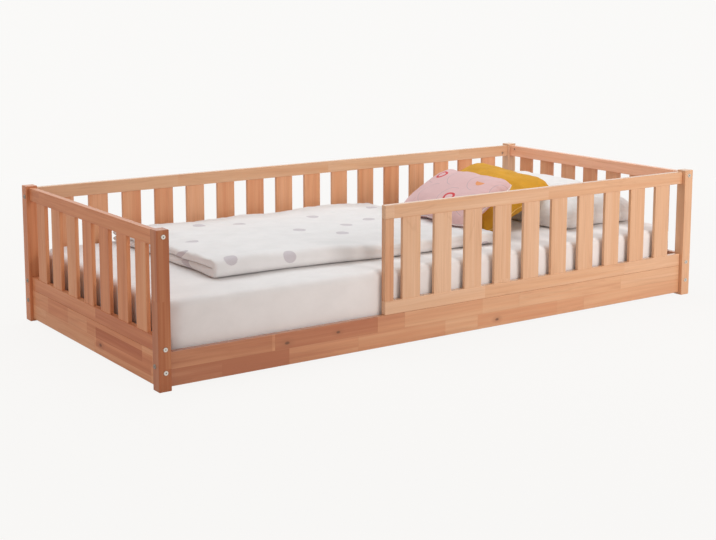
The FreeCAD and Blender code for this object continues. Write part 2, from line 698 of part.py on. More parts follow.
def pillow():
    """The head pillow, flat on the sheet across the bed."""
    spot = Vector(size("pillow_x"), size("pillow_y"), size("bedding_bottom + pillow_down"))
    return filled_cover("pillow", size("pillow_length"), size("pillow_width"), size("pillow_up"),
                        size("pillow_down"), Placement(spot, Rotation(Vector(0, 0, 1), 90)))


def yellow_cushion():
    """The scatter cushion that leans on the pillow."""
    spot = Vector(size("back_cushion_x"), size("back_cushion_y"), size("back_cushion_z"))
    turn = Rotation(size("back_cushion_twist"), -size("back_cushion_lean"), size("back_cushion_roll"))
    side = size("back_cushion_size")
    return filled_cover("yellow_cushion", side, side, size("back_cushion_up"), size("back_cushion_down"),
                        Placement(spot, turn))


def pink_cushion():
    """The scatter cushion that leans on the yellow one."""
    spot = Vector(size("front_cushion_x"), size("front_cushion_y"), size("front_cushion_z"))
    turn = Rotation(0, -size("front_cushion_lean"), 0).multiply(Rotation(Vector(0, 0, 1), 90))
    return filled_cover("pink_cushion", size("front_cushion_length"), size("front_cushion_width"),
                        size("front_cushion_up"), size("front_cushion_down"), Placement(spot, turn))


# Folded duvet

# Sections from the foot end to the head end: place along the duvet, how far its front fold is drawn back,
# and the heights of the front fold, the middle and the back, as shares of the sizes that they name.
DUVET_SECTIONS = (
    (0.00, 1.00, 0.88, 1.12, 0.95),
    (0.08, 1.00, 1.00, 1.22, 1.02),
    (0.22, 0.95, 0.98, 1.08, 1.05),
    (0.38, 0.70, 0.88, 1.02, 0.98),
    (0.55, 0.10, 0.72, 0.98, 1.00),
    (0.75, 0.00, 0.66, 1.06, 1.03),
    (0.90, 0.00, 0.68, 1.02, 1.00),
    (1.00, 0.00, 0.60, 0.92, 0.90),
)
FOLD_BULGE = 0.32
HOLLOW_SHARE = 0.3
MIDDLE_SHARE = 0.5


def duvet_section(share, draw, front_share, middle_share, back_share):
    """One closed section across the bed: flat underside, round front fold, a hollow behind it, round back."""
    x = size("duvet_foot_x") + share * size("duvet_head_x - duvet_foot_x")
    low = size("bedding_bottom")
    front = size("duvet_front_y") + draw * size("duvet_foot_draw")
    back = size("duvet_back_y")
    flat = size("duvet_flat_height")
    front_high = front_share * size("duvet_fold_height")
    back_high = back_share * flat
    front_line = front + FOLD_BULGE * front_high
    back_line = back - FOLD_BULGE * back_high
    middle = front + MIDDLE_SHARE * (back - front)
    hollow = (front_line + HOLLOW_SHARE * (middle - front_line), low + 0.5 * (front_high + middle_share * flat) + 1.5)
    brow = (0.5 * (middle + back_line), low + 0.5 * (middle_share * flat + back_high) + 1.5)
    edges = [line((x, front_line, low), (x, back_line, low)),
             arc((x, back_line, low), (x, back, low + back_high / 2), (x, back_line, low + back_high)),
             arc((x, back_line, low + back_high), (x,) + brow, (x, middle, low + middle_share * flat)),
             arc((x, middle, low + middle_share * flat), (x,) + hollow, (x, front_line, low + front_high)),
             arc((x, front_line, low + front_high), (x, front, low + front_high / 2), (x, front_line, low))]
    return Part.Wire(edges)


def duvet():
    """The folded duvet, with the slit between its layers at the foot end."""
    solid = Part.makeLoft([duvet_section(*row) for row in DUVET_SECTIONS], True, False)
    mouth = size("duvet_foot_x") - 1
    depth = size("duvet_slit_depth")
    level = size("bedding_bottom + duvet_slit_level")
    half = size("duvet_slit_height") / 2
    front = size("duvet_front_y + duvet_foot_draw") + size("duvet_slit_depth")
    profile = Part.makePolygon([Vector(mouth, front, level - half), Vector(mouth + depth, front, level),
                                Vector(mouth, front, level + half), Vector(mouth, front, level - half)])
    slit = Part.Face(profile).extrude(Vector(0, size("mattress_width"), 0))
    item = DOC.addObject("Part::Feature", "duvet")
    item.Shape = solid.cut(slit)
    return item


# The whole bed


def build():
    """Every sub-part of the bed, in the order in which it goes together."""
    nodes = posts()
    nodes.append(board(FRONT, GUARD_DOWELS, LEDGER_SCREWS))
    nodes += fall_guard()
    nodes += closed_panel(REAR, REAR_SLATS, REAR_DOWELS, LEDGER_SCREWS) + [rear_slats()]
    nodes += closed_panel(LEFT, END_SLATS, END_DOWELS) + slats(LEFT, "left", END_SLATS)
    nodes += closed_panel(RIGHT, END_SLATS, END_DOWELS) + slats(RIGHT, "right", END_SLATS)
    nodes += [connector_bolts(), barrel_nuts(), board_dowels()]
    nodes += [ledger(FRONT), ledger(REAR), ledger_screws(), base_slats(), base_slat_screws()]
    nodes += [cushioned("mattress", "0"), fitted_sheet(), duvet(), pillow(), yellow_cushion(), pink_cushion()]
    DOC.recompute()
    return nodes


def check(nodes):
    """Stop on any failed object or any sub-part without a sound shape."""
    for item in DOC.Objects:
        if "Invalid" in item.State or "Error" in item.State:
            raise RuntimeError("%s failed: %s" % (item.Name, item.State))
    for node in nodes:
        if node.Shape.isNull() or not node.Shape.isValid() or not node.Shape.Solids:
            raise RuntimeError("%s has no sound solid" % node.Label)


def write(nodes):
    """One STEP file for each sub-part, named by its label."""
    os.makedirs("parts", exist_ok=True)
    for node in nodes:
        node.Shape.exportStep("parts/%s.step" % node.Label)
        print("%-22s solids %3d volume %.0f" % (node.Label, len(node.Shape.Solids), node.Shape.Volume))


NODES = build()
check(NODES)
write(NODES)
print(len(NODES), "sub-parts")
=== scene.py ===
"""The looks of the toddler floor bed: oiled beech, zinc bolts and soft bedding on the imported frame."""

import math

import bpy
import numpy as np
from mathutils import Matrix, Vector
from mathutils.bvhtree import BVHTree


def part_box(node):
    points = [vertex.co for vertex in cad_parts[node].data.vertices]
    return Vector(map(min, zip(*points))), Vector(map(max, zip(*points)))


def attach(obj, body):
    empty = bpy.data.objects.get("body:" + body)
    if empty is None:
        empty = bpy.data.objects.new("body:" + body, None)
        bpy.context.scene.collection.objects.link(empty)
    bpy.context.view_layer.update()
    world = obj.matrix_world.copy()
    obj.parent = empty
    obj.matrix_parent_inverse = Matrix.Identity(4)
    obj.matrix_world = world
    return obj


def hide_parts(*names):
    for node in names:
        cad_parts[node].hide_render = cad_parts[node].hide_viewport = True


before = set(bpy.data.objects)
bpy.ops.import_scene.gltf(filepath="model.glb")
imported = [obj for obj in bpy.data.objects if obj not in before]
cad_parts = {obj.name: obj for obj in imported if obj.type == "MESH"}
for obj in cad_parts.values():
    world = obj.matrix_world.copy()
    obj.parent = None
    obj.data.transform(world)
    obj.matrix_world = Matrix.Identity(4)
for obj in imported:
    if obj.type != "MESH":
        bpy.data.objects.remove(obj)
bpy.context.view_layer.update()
SCENE = bpy.context.scene
MM = 0.001


# Camera, light and floor

CAMERA_PLACE = (-2.5843, -3.6765, 1.0986)
CAMERA_TURN = (1.6624, -0.5161, 0.4455)
FOCAL_LENGTH = 1343.77
CENTRE_ROW = 184.0
FRAME_WIDTH = 716
FRAME_HEIGHT = 540


def make_camera():
    """The camera of the photograph: a rotation vector, a focal length and the row of its axis, both in pixels."""
    turn = Vector(CAMERA_TURN)
    world_to_view = Matrix.Rotation(turn.length, 3, turn.normalized())
    view_to_world = world_to_view.transposed() @ Matrix(((1, 0, 0), (0, -1, 0), (0, 0, -1)))
    data = bpy.data.cameras.new("camera")
    data.sensor_width = 36
    data.lens = FOCAL_LENGTH / FRAME_WIDTH * data.sensor_width
    data.shift_y = -(FRAME_HEIGHT / 2 - CENTRE_ROW) / FRAME_WIDTH
    data.clip_end = 100
    item = bpy.data.objects.new("camera", data)
    item.matrix_world = Matrix.Translation(CAMERA_PLACE) @ view_to_world.to_4x4()
    SCENE.collection.objects.link(item)
    SCENE.camera = item


def lamp(name, place, aim, size, power, colour=(1, 1, 1), spread=180):
    """A square soft lamp that points at a spot, and throws its light within an angle in degrees."""
    data = bpy.data.lights.new(name, "AREA")
    data.size = size
    data.energy = power
    data.color = colour
    data.spread = math.radians(spread)
    item = bpy.data.objects.new(name, data)
    item.location = place
    item.rotation_euler = (Vector(aim) - Vector(place)).to_track_quat("-Z", "Y").to_euler()
    SCENE.collection.objects.link(item)


# Name, place, aim, size, power, colour and spread
LAMPS = (
    ("key", (1.1, -4.0, 1.7), (1.1, 0, 0.2), 1.8, 21.0, (1.0, 0.94, 0.905), 84),
    ("top", (0.2, 1.6, 4.0), (0, 0, 0.1), 3.0, 95, (0.92, 0.97, 1.0)),
    ("fill", (-4.2, -1.2, 1.6), (-1.0, 0, 0.25), 2.4, 19, (1.0, 0.88, 0.78)),
)
BACKDROP = (0.955, 0.948, 0.935, 1)
WORLD_LIGHT = (1.0, 0.97, 0.95, 1)
WORLD_STRENGTH = 0.42
FLOOR_COLOUR = (0.84, 0.775, 0.74, 1)
FLOOR_REACH = 30
# The distances between which the floor fades into the backdrop, and the backdrop's share at each
FLOOR_FADE = (1.2, 3.6, 0.94, 1.0)


def shown(tree):
    """One where the camera looks, straight or by a mirror, and nought for rays that only light the scene."""
    path = tree.nodes.new("ShaderNodeLightPath")
    seen = tree.nodes.new("ShaderNodeMath")
    seen.operation = "MAXIMUM"
    tree.links.new(path.outputs["Is Camera Ray"], seen.inputs[0])
    tree.links.new(path.outputs["Is Glossy Ray"], seen.inputs[1])
    return seen.outputs[0]


def blend(tree, share, first, second, output):
    """Mix two shaders and give the result to a new output node."""
    mix = tree.nodes.new("ShaderNodeMixShader")
    tree.links.new(share, mix.inputs[0])
    tree.links.new(first.outputs[0], mix.inputs[1])
    tree.links.new(second.outputs[0], mix.inputs[2])
    tree.links.new(mix.outputs[0], tree.nodes.new(output).inputs[0])


def make_surroundings():
    """The pale world, the lamps and the floor."""
    SCENE.view_settings.view_transform = "Standard"
    world = bpy.data.worlds.new("studio")
    SCENE.world = world
    world.use_nodes = True
    tree = world.node_tree
    tree.nodes.clear()
    light = tree.nodes.new("ShaderNodeBackground")
    light.inputs["Color"].default_value = WORLD_LIGHT
    light.inputs["Strength"].default_value = WORLD_STRENGTH
    backdrop = tree.nodes.new("ShaderNodeBackground")
    backdrop.inputs["Color"].default_value = BACKDROP
    blend(tree, shown(tree), light, backdrop, "ShaderNodeOutputWorld")
    for row in LAMPS:
        lamp(*row)
    mesh = bpy.data.meshes.new("floor")
    corners = [(x * FLOOR_REACH, y * FLOOR_REACH, 0) for x, y in ((-1, -1), (1, -1), (1, 1), (-1, 1))]
    mesh.from_pydata(corners, [], [(0, 1, 2, 3)])
    floor = bpy.data.objects.new("floor", mesh)
    SCENE.collection.objects.link(floor)
    material = bpy.data.materials.new("floor")
    material.use_nodes = True
    nodes, links = material.node_tree.nodes, material.node_tree.links
    nodes.clear()
    matt = nodes.new("ShaderNodeBsdfDiffuse")
    matt.inputs["Color"].default_value = FLOOR_COLOUR
    glow = nodes.new("ShaderNodeEmission")
    glow.inputs["Color"].default_value = BACKDROP
    spot = nodes.new("ShaderNodeTexCoord")
    reach = nodes.new("ShaderNodeVectorMath")
    reach.operation = "LENGTH"
    links.new(spot.outputs["Object"], reach.inputs[0])
    fade = nodes.new("ShaderNodeMapRange")
    fade.interpolation_type = "SMOOTHSTEP"
    for socket, number in zip(list(fade.inputs)[1:5], FLOOR_FADE):
        socket.default_value = number
    links.new(reach.outputs["Value"], fade.inputs[0])
    share = nodes.new("ShaderNodeMath")
    share.operation = "MULTIPLY"
    links.new(shown(material.node_tree), share.inputs[0])
    links.new(fade.outputs[0], share.inputs[1])
    blend(material.node_tree, share.outputs[0], matt, glow, "ShaderNodeOutputMaterial")
    mesh.materials.append(material)


make_camera()
make_surroundings()


# Material building


class Graph:
    """Short calls for the nodes of one material."""

    def __init__(self, name):
        self.material = bpy.data.materials.new(name)
        self.material.use_nodes = True
        self.tree = self.material.node_tree
        self.shader = self.tree.nodes["Principled BSDF"]

    def plug(self, socket, value):
        """Link a socket, or set it."""
        if isinstance(value, bpy.types.NodeSocket):
            self.tree.links.new(value, socket)
        elif value is not None:
            socket.default_value = value

    def math(self, operation, first, second=None):
        node = self.tree.nodes.new("ShaderNodeMath")
        node.operation = operation
        for socket, value in zip(node.inputs, (first, second)):
            self.plug(socket, value)
        return node.outputs[0]

    def plus(self, first, second):
        return self.math("ADD", first, second)

    def minus(self, first, second):
        return self.math("SUBTRACT", first, second)

    def times(self, first, second):
        return self.math("MULTIPLY", first, second)

    def reach(self, x, y):
        """The length of a flat step."""
        return self.math("SQRT", self.plus(self.times(x, x), self.times(y, y)))

    def combine(self, x, y, z):
        node = self.tree.nodes.new("ShaderNodeCombineXYZ")
        for socket, value in zip(node.inputs, (x, y, z)):
            self.plug(socket, value)
        return node.outputs[0]

    def axes(self, source="Object"):
        """The coordinates of a piece as three numbers."""
        coordinates = self.tree.nodes.new("ShaderNodeTexCoord")
        split = self.tree.nodes.new("ShaderNodeSeparateXYZ")
        self.plug(split.inputs[0], coordinates.outputs[source])
        return list(split.outputs)

    def facing_up(self):
        """How far a surface faces up: hands and cloths polish the tops of the wood."""
        geometry = self.tree.nodes.new("ShaderNodeNewGeometry")
        split = self.tree.nodes.new("ShaderNodeSeparateXYZ")
        self.plug(split.inputs[0], geometry.outputs["Normal"])
        return split.outputs[2]

    def noise(self, vector, scale=1.0, detail=2.0, rough=0.5, distortion=0.0):
        node = self.tree.nodes.new("ShaderNodeTexNoise")
        self.plug(node.inputs["Vector"], vector)
        node.inputs["Scale"].default_value = scale
        node.inputs["Detail"].default_value = detail
        node.inputs["Roughness"].default_value = rough
        node.inputs["Distortion"].default_value = distortion
        return node.outputs["Fac"]

    def speckle(self, vector):
        node = self.tree.nodes.new("ShaderNodeTexWhiteNoise")
        node.noise_dimensions = "3D"
        self.plug(node.inputs["Vector"], vector)
        return node.outputs["Value"]

    def ramp(self, factor, stops):
        node = self.tree.nodes.new("ShaderNodeValToRGB")
        self.plug(node.inputs[0], factor)
        elements = node.color_ramp.elements
        while len(elements) < len(stops):
            elements.new(0.5)
        for element, (position, colour) in zip(elements, stops):
            element.position = position
            element.color = tuple(colour) + (1,) if len(colour) == 3 else colour
        return node.outputs[0]

    def span(self, value, low, high, to_low=0.0, to_high=1.0):
        """Map a number from one span to another, kept inside it."""
        node = self.tree.nodes.new("ShaderNodeMapRange")
        for socket, number in zip(node.inputs, (value, low, high, to_low, to_high)):
            self.plug(socket, number)
        return node.outputs[0]

    def mix(self, factor, first, second, blend="MIX"):
        node = self.tree.nodes.new("ShaderNodeMix")
        node.data_type = "RGBA"
        node.blend_type = blend
        self.plug(node.inputs[0], factor)
        for socket, value in zip((node.inputs[6], node.inputs[7]), (first, second)):
            self.plug(socket, tuple(value) + (1,) if isinstance(value, tuple) and len(value) == 3 else value)
        return node.outputs[2]

    def bump(self, height, strength, distance, under=None):
        node = self.tree.nodes.new("ShaderNodeBump")
        node.inputs["Strength"].default_value = strength
        node.inputs["Distance"].default_value = distance
        self.plug(node.inputs["Height"], height)
        if under is not None:
            self.plug(node.inputs["Normal"], under)
        return node.outputs[0]

    def finish(self, colour, roughness, normal=None, **settings):
        self.plug(self.shader.inputs["Base Color"], colour)
        self.plug(self.shader.inputs["Roughness"], roughness)
        self.plug(self.shader.inputs["Normal"], normal)
        for name, value in settings.items():
            self.shader.inputs[name.replace("_", " ")].default_value = value
        return self.material


# Beech

PALE = (0.765, 0.485, 0.305)
HONEY = (0.715, 0.412, 0.232)
ROSY = (0.640, 0.300, 0.150)
RUST = (0.460, 0.160, 0.072)
DARK = (0.340, 0.125, 0.055)


def beech(name, grain, across, stave, offset, run, base, contrast, seams=False, marks=(), knots=(),
          tint=(1, 1, 1), gloss=1.0):
    """Oiled beech made up of staves along one axis, with a tone and a figure of its own in every stave."""
    graph = Graph(name)
    axes = graph.axes()
    along, wide = axes["XYZ".index(grain)], axes["XYZ".index(across)]
    deep = axes[3 - "XYZ".index(grain) - "XYZ".index(across)]
    row_place = graph.plus(graph.math("DIVIDE", wide, stave), offset)
    row = graph.math("FLOOR", row_place)
    piece = graph.math("FLOOR", graph.math("DIVIDE", deep, 0.1))
    slip = graph.speckle(graph.combine(row, piece, 3.1))
    cell_place = graph.plus(graph.math("DIVIDE", along, run), graph.times(slip, 7.0))
    cell = graph.speckle(graph.combine(row, graph.math("FLOOR", cell_place), piece))
    lift = graph.times(cell, 9.0)

    def timber_noise(length, cross, shift, *look):
        """Noise drawn out along the grain, by its cycles a metre along and across it."""
        sideways = graph.times(wide, cross)
        if shift is not None:
            sideways = graph.plus(sideways, shift)
        place = graph.combine(graph.times(along, length), sideways, graph.times(deep, cross))
        return graph.noise(place, 1.0, *look)

    figure = timber_noise(1.3, 17.0, lift, 3.0, 0.55, 0.9)
    streak = timber_noise(5.0, 190.0, lift, 4.0, 0.6, 0.2)
    fleck = timber_noise(190.0, 1500.0, None, 1.0, 0.5)
    band = timber_noise(0.9, 60.0, lift, 2.0, 0.5, 0.3)
    tone = graph.plus(graph.times(graph.minus(cell, 0.5), 0.62 * contrast),
                      graph.times(graph.minus(figure, 0.5), 0.55))
    tone = graph.plus(tone, graph.times(graph.minus(band, 0.5), 0.65))
    tone = graph.plus(tone, base)
    # Darker patches from the marks: darker staves, and on the front board painted shade as well
    for low, high, bottom, top, amount in marks:
        inside = graph.times(graph.math("GREATER_THAN", along, low), graph.math("LESS_THAN", along, high))
        inside = graph.times(inside, graph.math("GREATER_THAN", wide, bottom))
        inside = graph.times(inside, graph.math("LESS_THAN", wide, top))
        tone = graph.plus(tone, graph.times(inside, amount))
    colour = graph.ramp(tone, ((0.0, PALE), (0.34, HONEY), (0.68, ROSY), (1.0, RUST)))
    line = graph.span(graph.math("ABSOLUTE", graph.minus(figure, 0.57)), 0.0, 0.020, 0.13, 0.0)
    colour = graph.mix(line, colour, DARK)
    colour = graph.mix(graph.span(streak, 0.36, 0.72, 0.0, 0.20), colour, DARK)
    colour = graph.mix(graph.span(fleck, 0.66, 0.76, 0.0, 0.22), colour, DARK)
    for spot_along, spot_wide, radius in knots:
        step_along = graph.times(graph.minus(along, spot_along), 0.6)
        step_wide = graph.minus(wide, spot_wide)
        far = graph.reach(step_along, step_wide)
        far = graph.plus(far, graph.times(graph.minus(streak, 0.5), radius * 0.5))
        colour = graph.mix(graph.span(far, radius * 0.8, radius * 3.2, 0.45, 0.0), colour, DARK)
        colour = graph.mix(graph.span(far, radius * 0.5, radius, 0.8, 0.0), colour, (0.13, 0.05, 0.02))
    height = graph.plus(graph.times(streak, 0.6), graph.times(fleck, 0.4))
    if seams:
        part = graph.math("ABSOLUTE", graph.minus(graph.math("FRACT", row_place), 0.5))
        joint = graph.span(part, 0.5 - 0.0006 / stave, 0.5, 0.0, 0.4)
        ends = graph.math("ABSOLUTE", graph.minus(graph.math("FRACT", cell_place), 0.5))
        butt = graph.span(ends, 0.5 - 0.0006 / run, 0.5, 0.0, 0.4)
        colour = graph.mix(graph.math("MAXIMUM", joint, butt), colour, DARK)
    # The tint multiplies the colour: partly wood tone and partly painted warm shade on the shaded parts, and painted
    # light on the right rails
    if tint != (1, 1, 1):
        colour = graph.mix(1.0, colour, tint, "MULTIPLY")
    normal = graph.bump(height, 0.12, 0.0004)
    rough = graph.span(streak, 0.3, 0.7, 0.40, 0.52)
    coat = graph.span(graph.facing_up(), 0.8, 0.97, 0.35 * gloss, gloss ** 0.7)
    graph.plug(graph.shader.inputs["Coat Weight"], coat)
    return graph.finish(colour, rough, normal, Specular_IOR_Level=0.4 * gloss, Coat_Roughness=0.22)


def dress(nodes, material):
    """Give CAD nodes one material."""
    for name in nodes:
        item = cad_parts[name]
        for slot in item.material_slots:
            slot.material = material
        if not item.material_slots:
            item.data.materials.append(material)


def named(*parts):
    """CAD nodes whose names hold one of the words."""
    return [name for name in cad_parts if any(part in name for part in parts)]


# Darker patches: from and to along the board, from and to in height, and how much darker. On the left board they are
# darker staves; on the front board they are darker staves with painted shade that grows towards the board's left end
FRONT_STAVES_AND_SHADE = ((-0.677, -0.308, 0.056, 0.2, 0.36), (-1.0, -0.62, 0.0, 0.056, 0.54),
               (-1.0, -0.677, 0.056, 0.2, 0.50), (-0.62, -0.05, 0.0, 0.056, 0.28),
               (-0.308, 0.10, 0.056, 0.2, 0.14), (-0.05, 0.42, 0.0, 0.056, 0.08))
LEFT_MARKS = ((-0.43, -0.05, 0.030, 0.088, 0.30), (0.16, 0.32, 0.054, 0.2, 0.16))
# A redder tint for the left-end parts, the rear-left post and the rear and right slats: partly wood tone, partly
# painted warm shade
WARM_TONE_AND_SHADE = (1.07, 0.93, 0.87)

# The parts' base tones run darker on the left posts, rails and slats and on the rear slats than on the right post,
# rails and guard: partly wood tone, partly painted shade
dress(("front_board",), beech("beech_front_board", "X", "Z", 0.048, 0.82, 0.46, 0.44, 0.6, True, FRONT_STAVES_AND_SHADE,
                              ((-0.627, 0.073, 0.006), (-0.451, 0.079, 0.005), (0.16, 0.03, 0.005))))
dress(("rear_board",), beech("beech_rear_board", "X", "Z", 0.048, 0.82, 0.46, 0.4, 1.0, True))
dress(("left_board",), beech("beech_left_board", "Y", "Z", 0.048, 0.82, 0.38, 0.48, 0.6, True, LEFT_MARKS,
                             ((-0.083, 0.040, 0.006),), WARM_TONE_AND_SHADE, 0.25))
dress(("right_board",), beech("beech_right_board", "Y", "Z", 0.048, 0.82, 0.38, 0.35, 1.0, True))
dress(named("guard_bottom", "guard_top", "rear_bottom", "rear_top"),
      beech("beech_long_rail", "X", "Z", 0.1, 0.0, 0.62, 0.20, 0.6))
dress(named("left_bottom", "left_top"),
      beech("beech_left_rail", "Y", "Z", 0.1, 0.0, 0.5, 0.82, 0.6, tint=WARM_TONE_AND_SHADE, gloss=0.3))
# Painted light: the tint above one brightens the right rails' inner faces, which the lamps leave in shade
dress(named("right_bottom", "right_top"),
      beech("beech_right_rail", "Y", "Z", 0.1, 0.0, 0.5, 0.10, 0.5, tint=(1.26, 1.10, 1.14)))
dress(named("guard_slat"), beech("beech_guard_slat", "Z", "X", 0.121, 0.0, 0.9, 0.16, 0.4))
dress(named("rear_slats"), beech("beech_rear_slat", "Z", "X", 0.121, 0.0, 0.9, 0.36, 0.5, tint=WARM_TONE_AND_SHADE, gloss=0.7))
dress(named("left_slat"), beech("beech_left_slat", "Z", "Y", 0.121, 0.5, 0.9, 0.55, 0.4, tint=WARM_TONE_AND_SHADE, gloss=0.3))
dress(named("right_slat"), beech("beech_right_slat", "Z", "Y", 0.121, 0.5, 0.9, 0.30, 0.5, tint=WARM_TONE_AND_SHADE))
dress(named("front_left_post"), beech("beech_front_left_post", "Z", "X", 0.2, 0.1, 0.7, 0.96, 0.2, gloss=0.4))
dress(named("rear_left_post"), beech("beech_rear_left_post", "Z", "X", 0.2, 0.1, 0.7, 0.66, 0.3, tint=WARM_TONE_AND_SHADE, gloss=0.4))
dress(named("right_post"), beech("beech_right_post", "Z", "X", 0.2, 0.1, 0.7, 0.20, 0.5))
dress(named("stile"), beech("beech_stile", "Z", "X", 0.2, 0.1, 0.7, 0.5, 0.3))
dress(named("base_slats"), beech("base_slat", "Y", "X", 0.15, 0.5, 1.2, 0.1, 0.4))
dress(named("ledger", "dowels"), beech("ledger", "X", "Z", 0.1, 0.0, 1.2, 0.1, 0.4))


# Zinc-plated steel


END_FACE = 1.0390


def zinc(name, tone):
    """Zinc plate with faint mottling and turning marks, with painted shade in its sockets and recesses, and painted
    shade on the bolts in the faces at the two ends.
    """
    graph = Graph(name)
    axes = graph.axes()
    vector = graph.combine(*axes)
    mottle = graph.noise(vector, 260.0, 3.0, 0.6)
    fine = graph.noise(vector, 2400.0, 2.0, 0.5)
    colour = graph.ramp(mottle, ((0.3, tuple(0.85 * c for c in tone)), (0.7, tone)))
    # Painted shade: darker where the ambient occlusion finds the socket and other recesses
    corner = graph.tree.nodes.new("ShaderNodeAmbientOcclusion")
    corner.inputs["Distance"].default_value = 0.004
    colour = graph.mix(graph.span(corner.outputs["AO"], 0.40, 0.90, 0.75, 0.0), colour, (0.12, 0.09, 0.07))
    # Painted shade: the bolts on the two end faces are darkened
    end_face_shade = graph.math("GREATER_THAN", graph.math("ABSOLUTE", axes[0]), END_FACE)
    colour = graph.mix(graph.times(end_face_shade, 0.85), colour, (0.17, 0.12, 0.09))
    rough = graph.span(mottle, 0.3, 0.7, 0.26, 0.40)
    return graph.finish(colour, rough, graph.bump(fine, 0.1, 0.0002), Metallic=1.0)


dress(named("connector_bolts"), zinc("zinc_bolt", (0.72, 0.68, 0.62)))
dress(named("barrel_nuts", "screws"), zinc("zinc_fastener", (0.62, 0.61, 0.58)))


# Cloth shapes


def ripple(points, seed, wavelength, octaves=3, gain=0.55):
    """Smooth noise of about -1 to 1 on points, from waves in seeded directions."""
    source = np.random.default_rng(seed)
    total = np.zeros(len(points))
    strength = 1.0
    for _ in range(octaves):
        turns = source.normal(size=(9, points.shape[1]))
        turns /= np.linalg.norm(turns, axis=1)[:, None]
        phases = source.uniform(0, 2 * math.pi, 9)
        total += strength * np.sin(points @ turns.T * (2 * math.pi / wavelength) + phases).sum(axis=1) / 4
        wavelength *= 0.5
        strength *= gain
    return total


def smooth_row(values, width):
    """A row of numbers run through a soft window, with its ends kept."""
    window = np.hanning(width + 2)[1:-1]
    padded = np.concatenate([np.full(width // 2, values[0]), values, np.full(width // 2, values[-1])])
    return np.convolve(padded, window / window.sum(), mode="valid")


def make_piece(name, points, faces, uv=None, dot_steps=None):
    """A smooth mesh piece, with its flat-cloth coordinates in metres and each face corner's way to the nearest dot."""
    mesh = bpy.data.meshes.new(name)
    mesh.from_pydata([tuple(point) for point in points], [], faces)
    mesh.polygons.foreach_set("use_smooth", [True] * len(mesh.polygons))
    if uv is not None:
        corners = np.empty(len(mesh.loops), dtype=np.int32)
        mesh.loops.foreach_get("vertex_index", corners)
        layer = mesh.uv_layers.new(name="cloth")
        layer.data.foreach_set("uv", np.asarray(uv, dtype=float)[corners].ravel())
    if dot_steps is not None:
        layer = mesh.uv_layers.new(name="dots")
        layer.data.foreach_set("uv", dot_steps.ravel())
    mesh.validate()
    item = bpy.data.objects.new(name, mesh)
    SCENE.collection.objects.link(item)
    return item


def positions(item):
    """The vertices of a piece as an array."""
    flat = np.empty(len(item.data.vertices) * 3)
    item.data.vertices.foreach_get("co", flat)
    return flat.reshape(-1, 3)


def set_positions(item, points):
    item.data.vertices.foreach_set("co", np.asarray(points, dtype=float).ravel())
    item.data.update()


def refine(item):
    """Add one level of subdivision surface."""
    modifier = item.modifiers.new("subdivision", "SUBSURF")
    modifier.levels = 1
    modifier.render_levels = 1
    modifier.uv_smooth = "NONE"


def tube(name, path, radius, sides=6):
    """A closed welt along a closed path."""
    count = len(path)
    ahead = np.roll(path, -1, axis=0) - np.roll(path, 1, axis=0)
    ahead /= np.linalg.norm(ahead, axis=1)[:, None]
    out = path - path.mean(axis=0)
    out -= (out * ahead).sum(axis=1)[:, None] * ahead
    out /= np.linalg.norm(out, axis=1)[:, None]
    side = np.cross(ahead, out)
    points, faces = [], []
    for k in range(sides):
        turn = 2 * math.pi * k / sides
        points.append(path + radius * (math.cos(turn) * out + math.sin(turn) * side))
    points = np.concatenate(points)
    for k in range(sides):
        for n in range(count):
            m = (n + 1) % count
            j = (k + 1) % sides
            faces.append((k * count + n, k * count + m, j * count + m, j * count + n))
    return make_piece(name, points, faces)


# Filled covers: flat closed cloth blown up, then set to size

SHEET_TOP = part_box("fitted_sheet")[1][2]
# How far a cover and the middle of its welt stay above the sheet
COVER_LIFT = 0.0004
WELT_LIFT = 0.0028
WELT_RADIUS = 0.0021
# The share of the way out from which a vertex lies on the seam, before and after the subdivision
ON_SEAM = 0.999
ON_FINE_SEAM = 0.9999
# How much of the simulated shape is kept in the outline and in the height
BLOWN_OUTLINE = 0.25
BLOWN_HEIGHT = 0.2
SEAM_WOBBLE = 0.0012
SIMULATED_FRAMES = 40
CACHED_FRAMES = 60


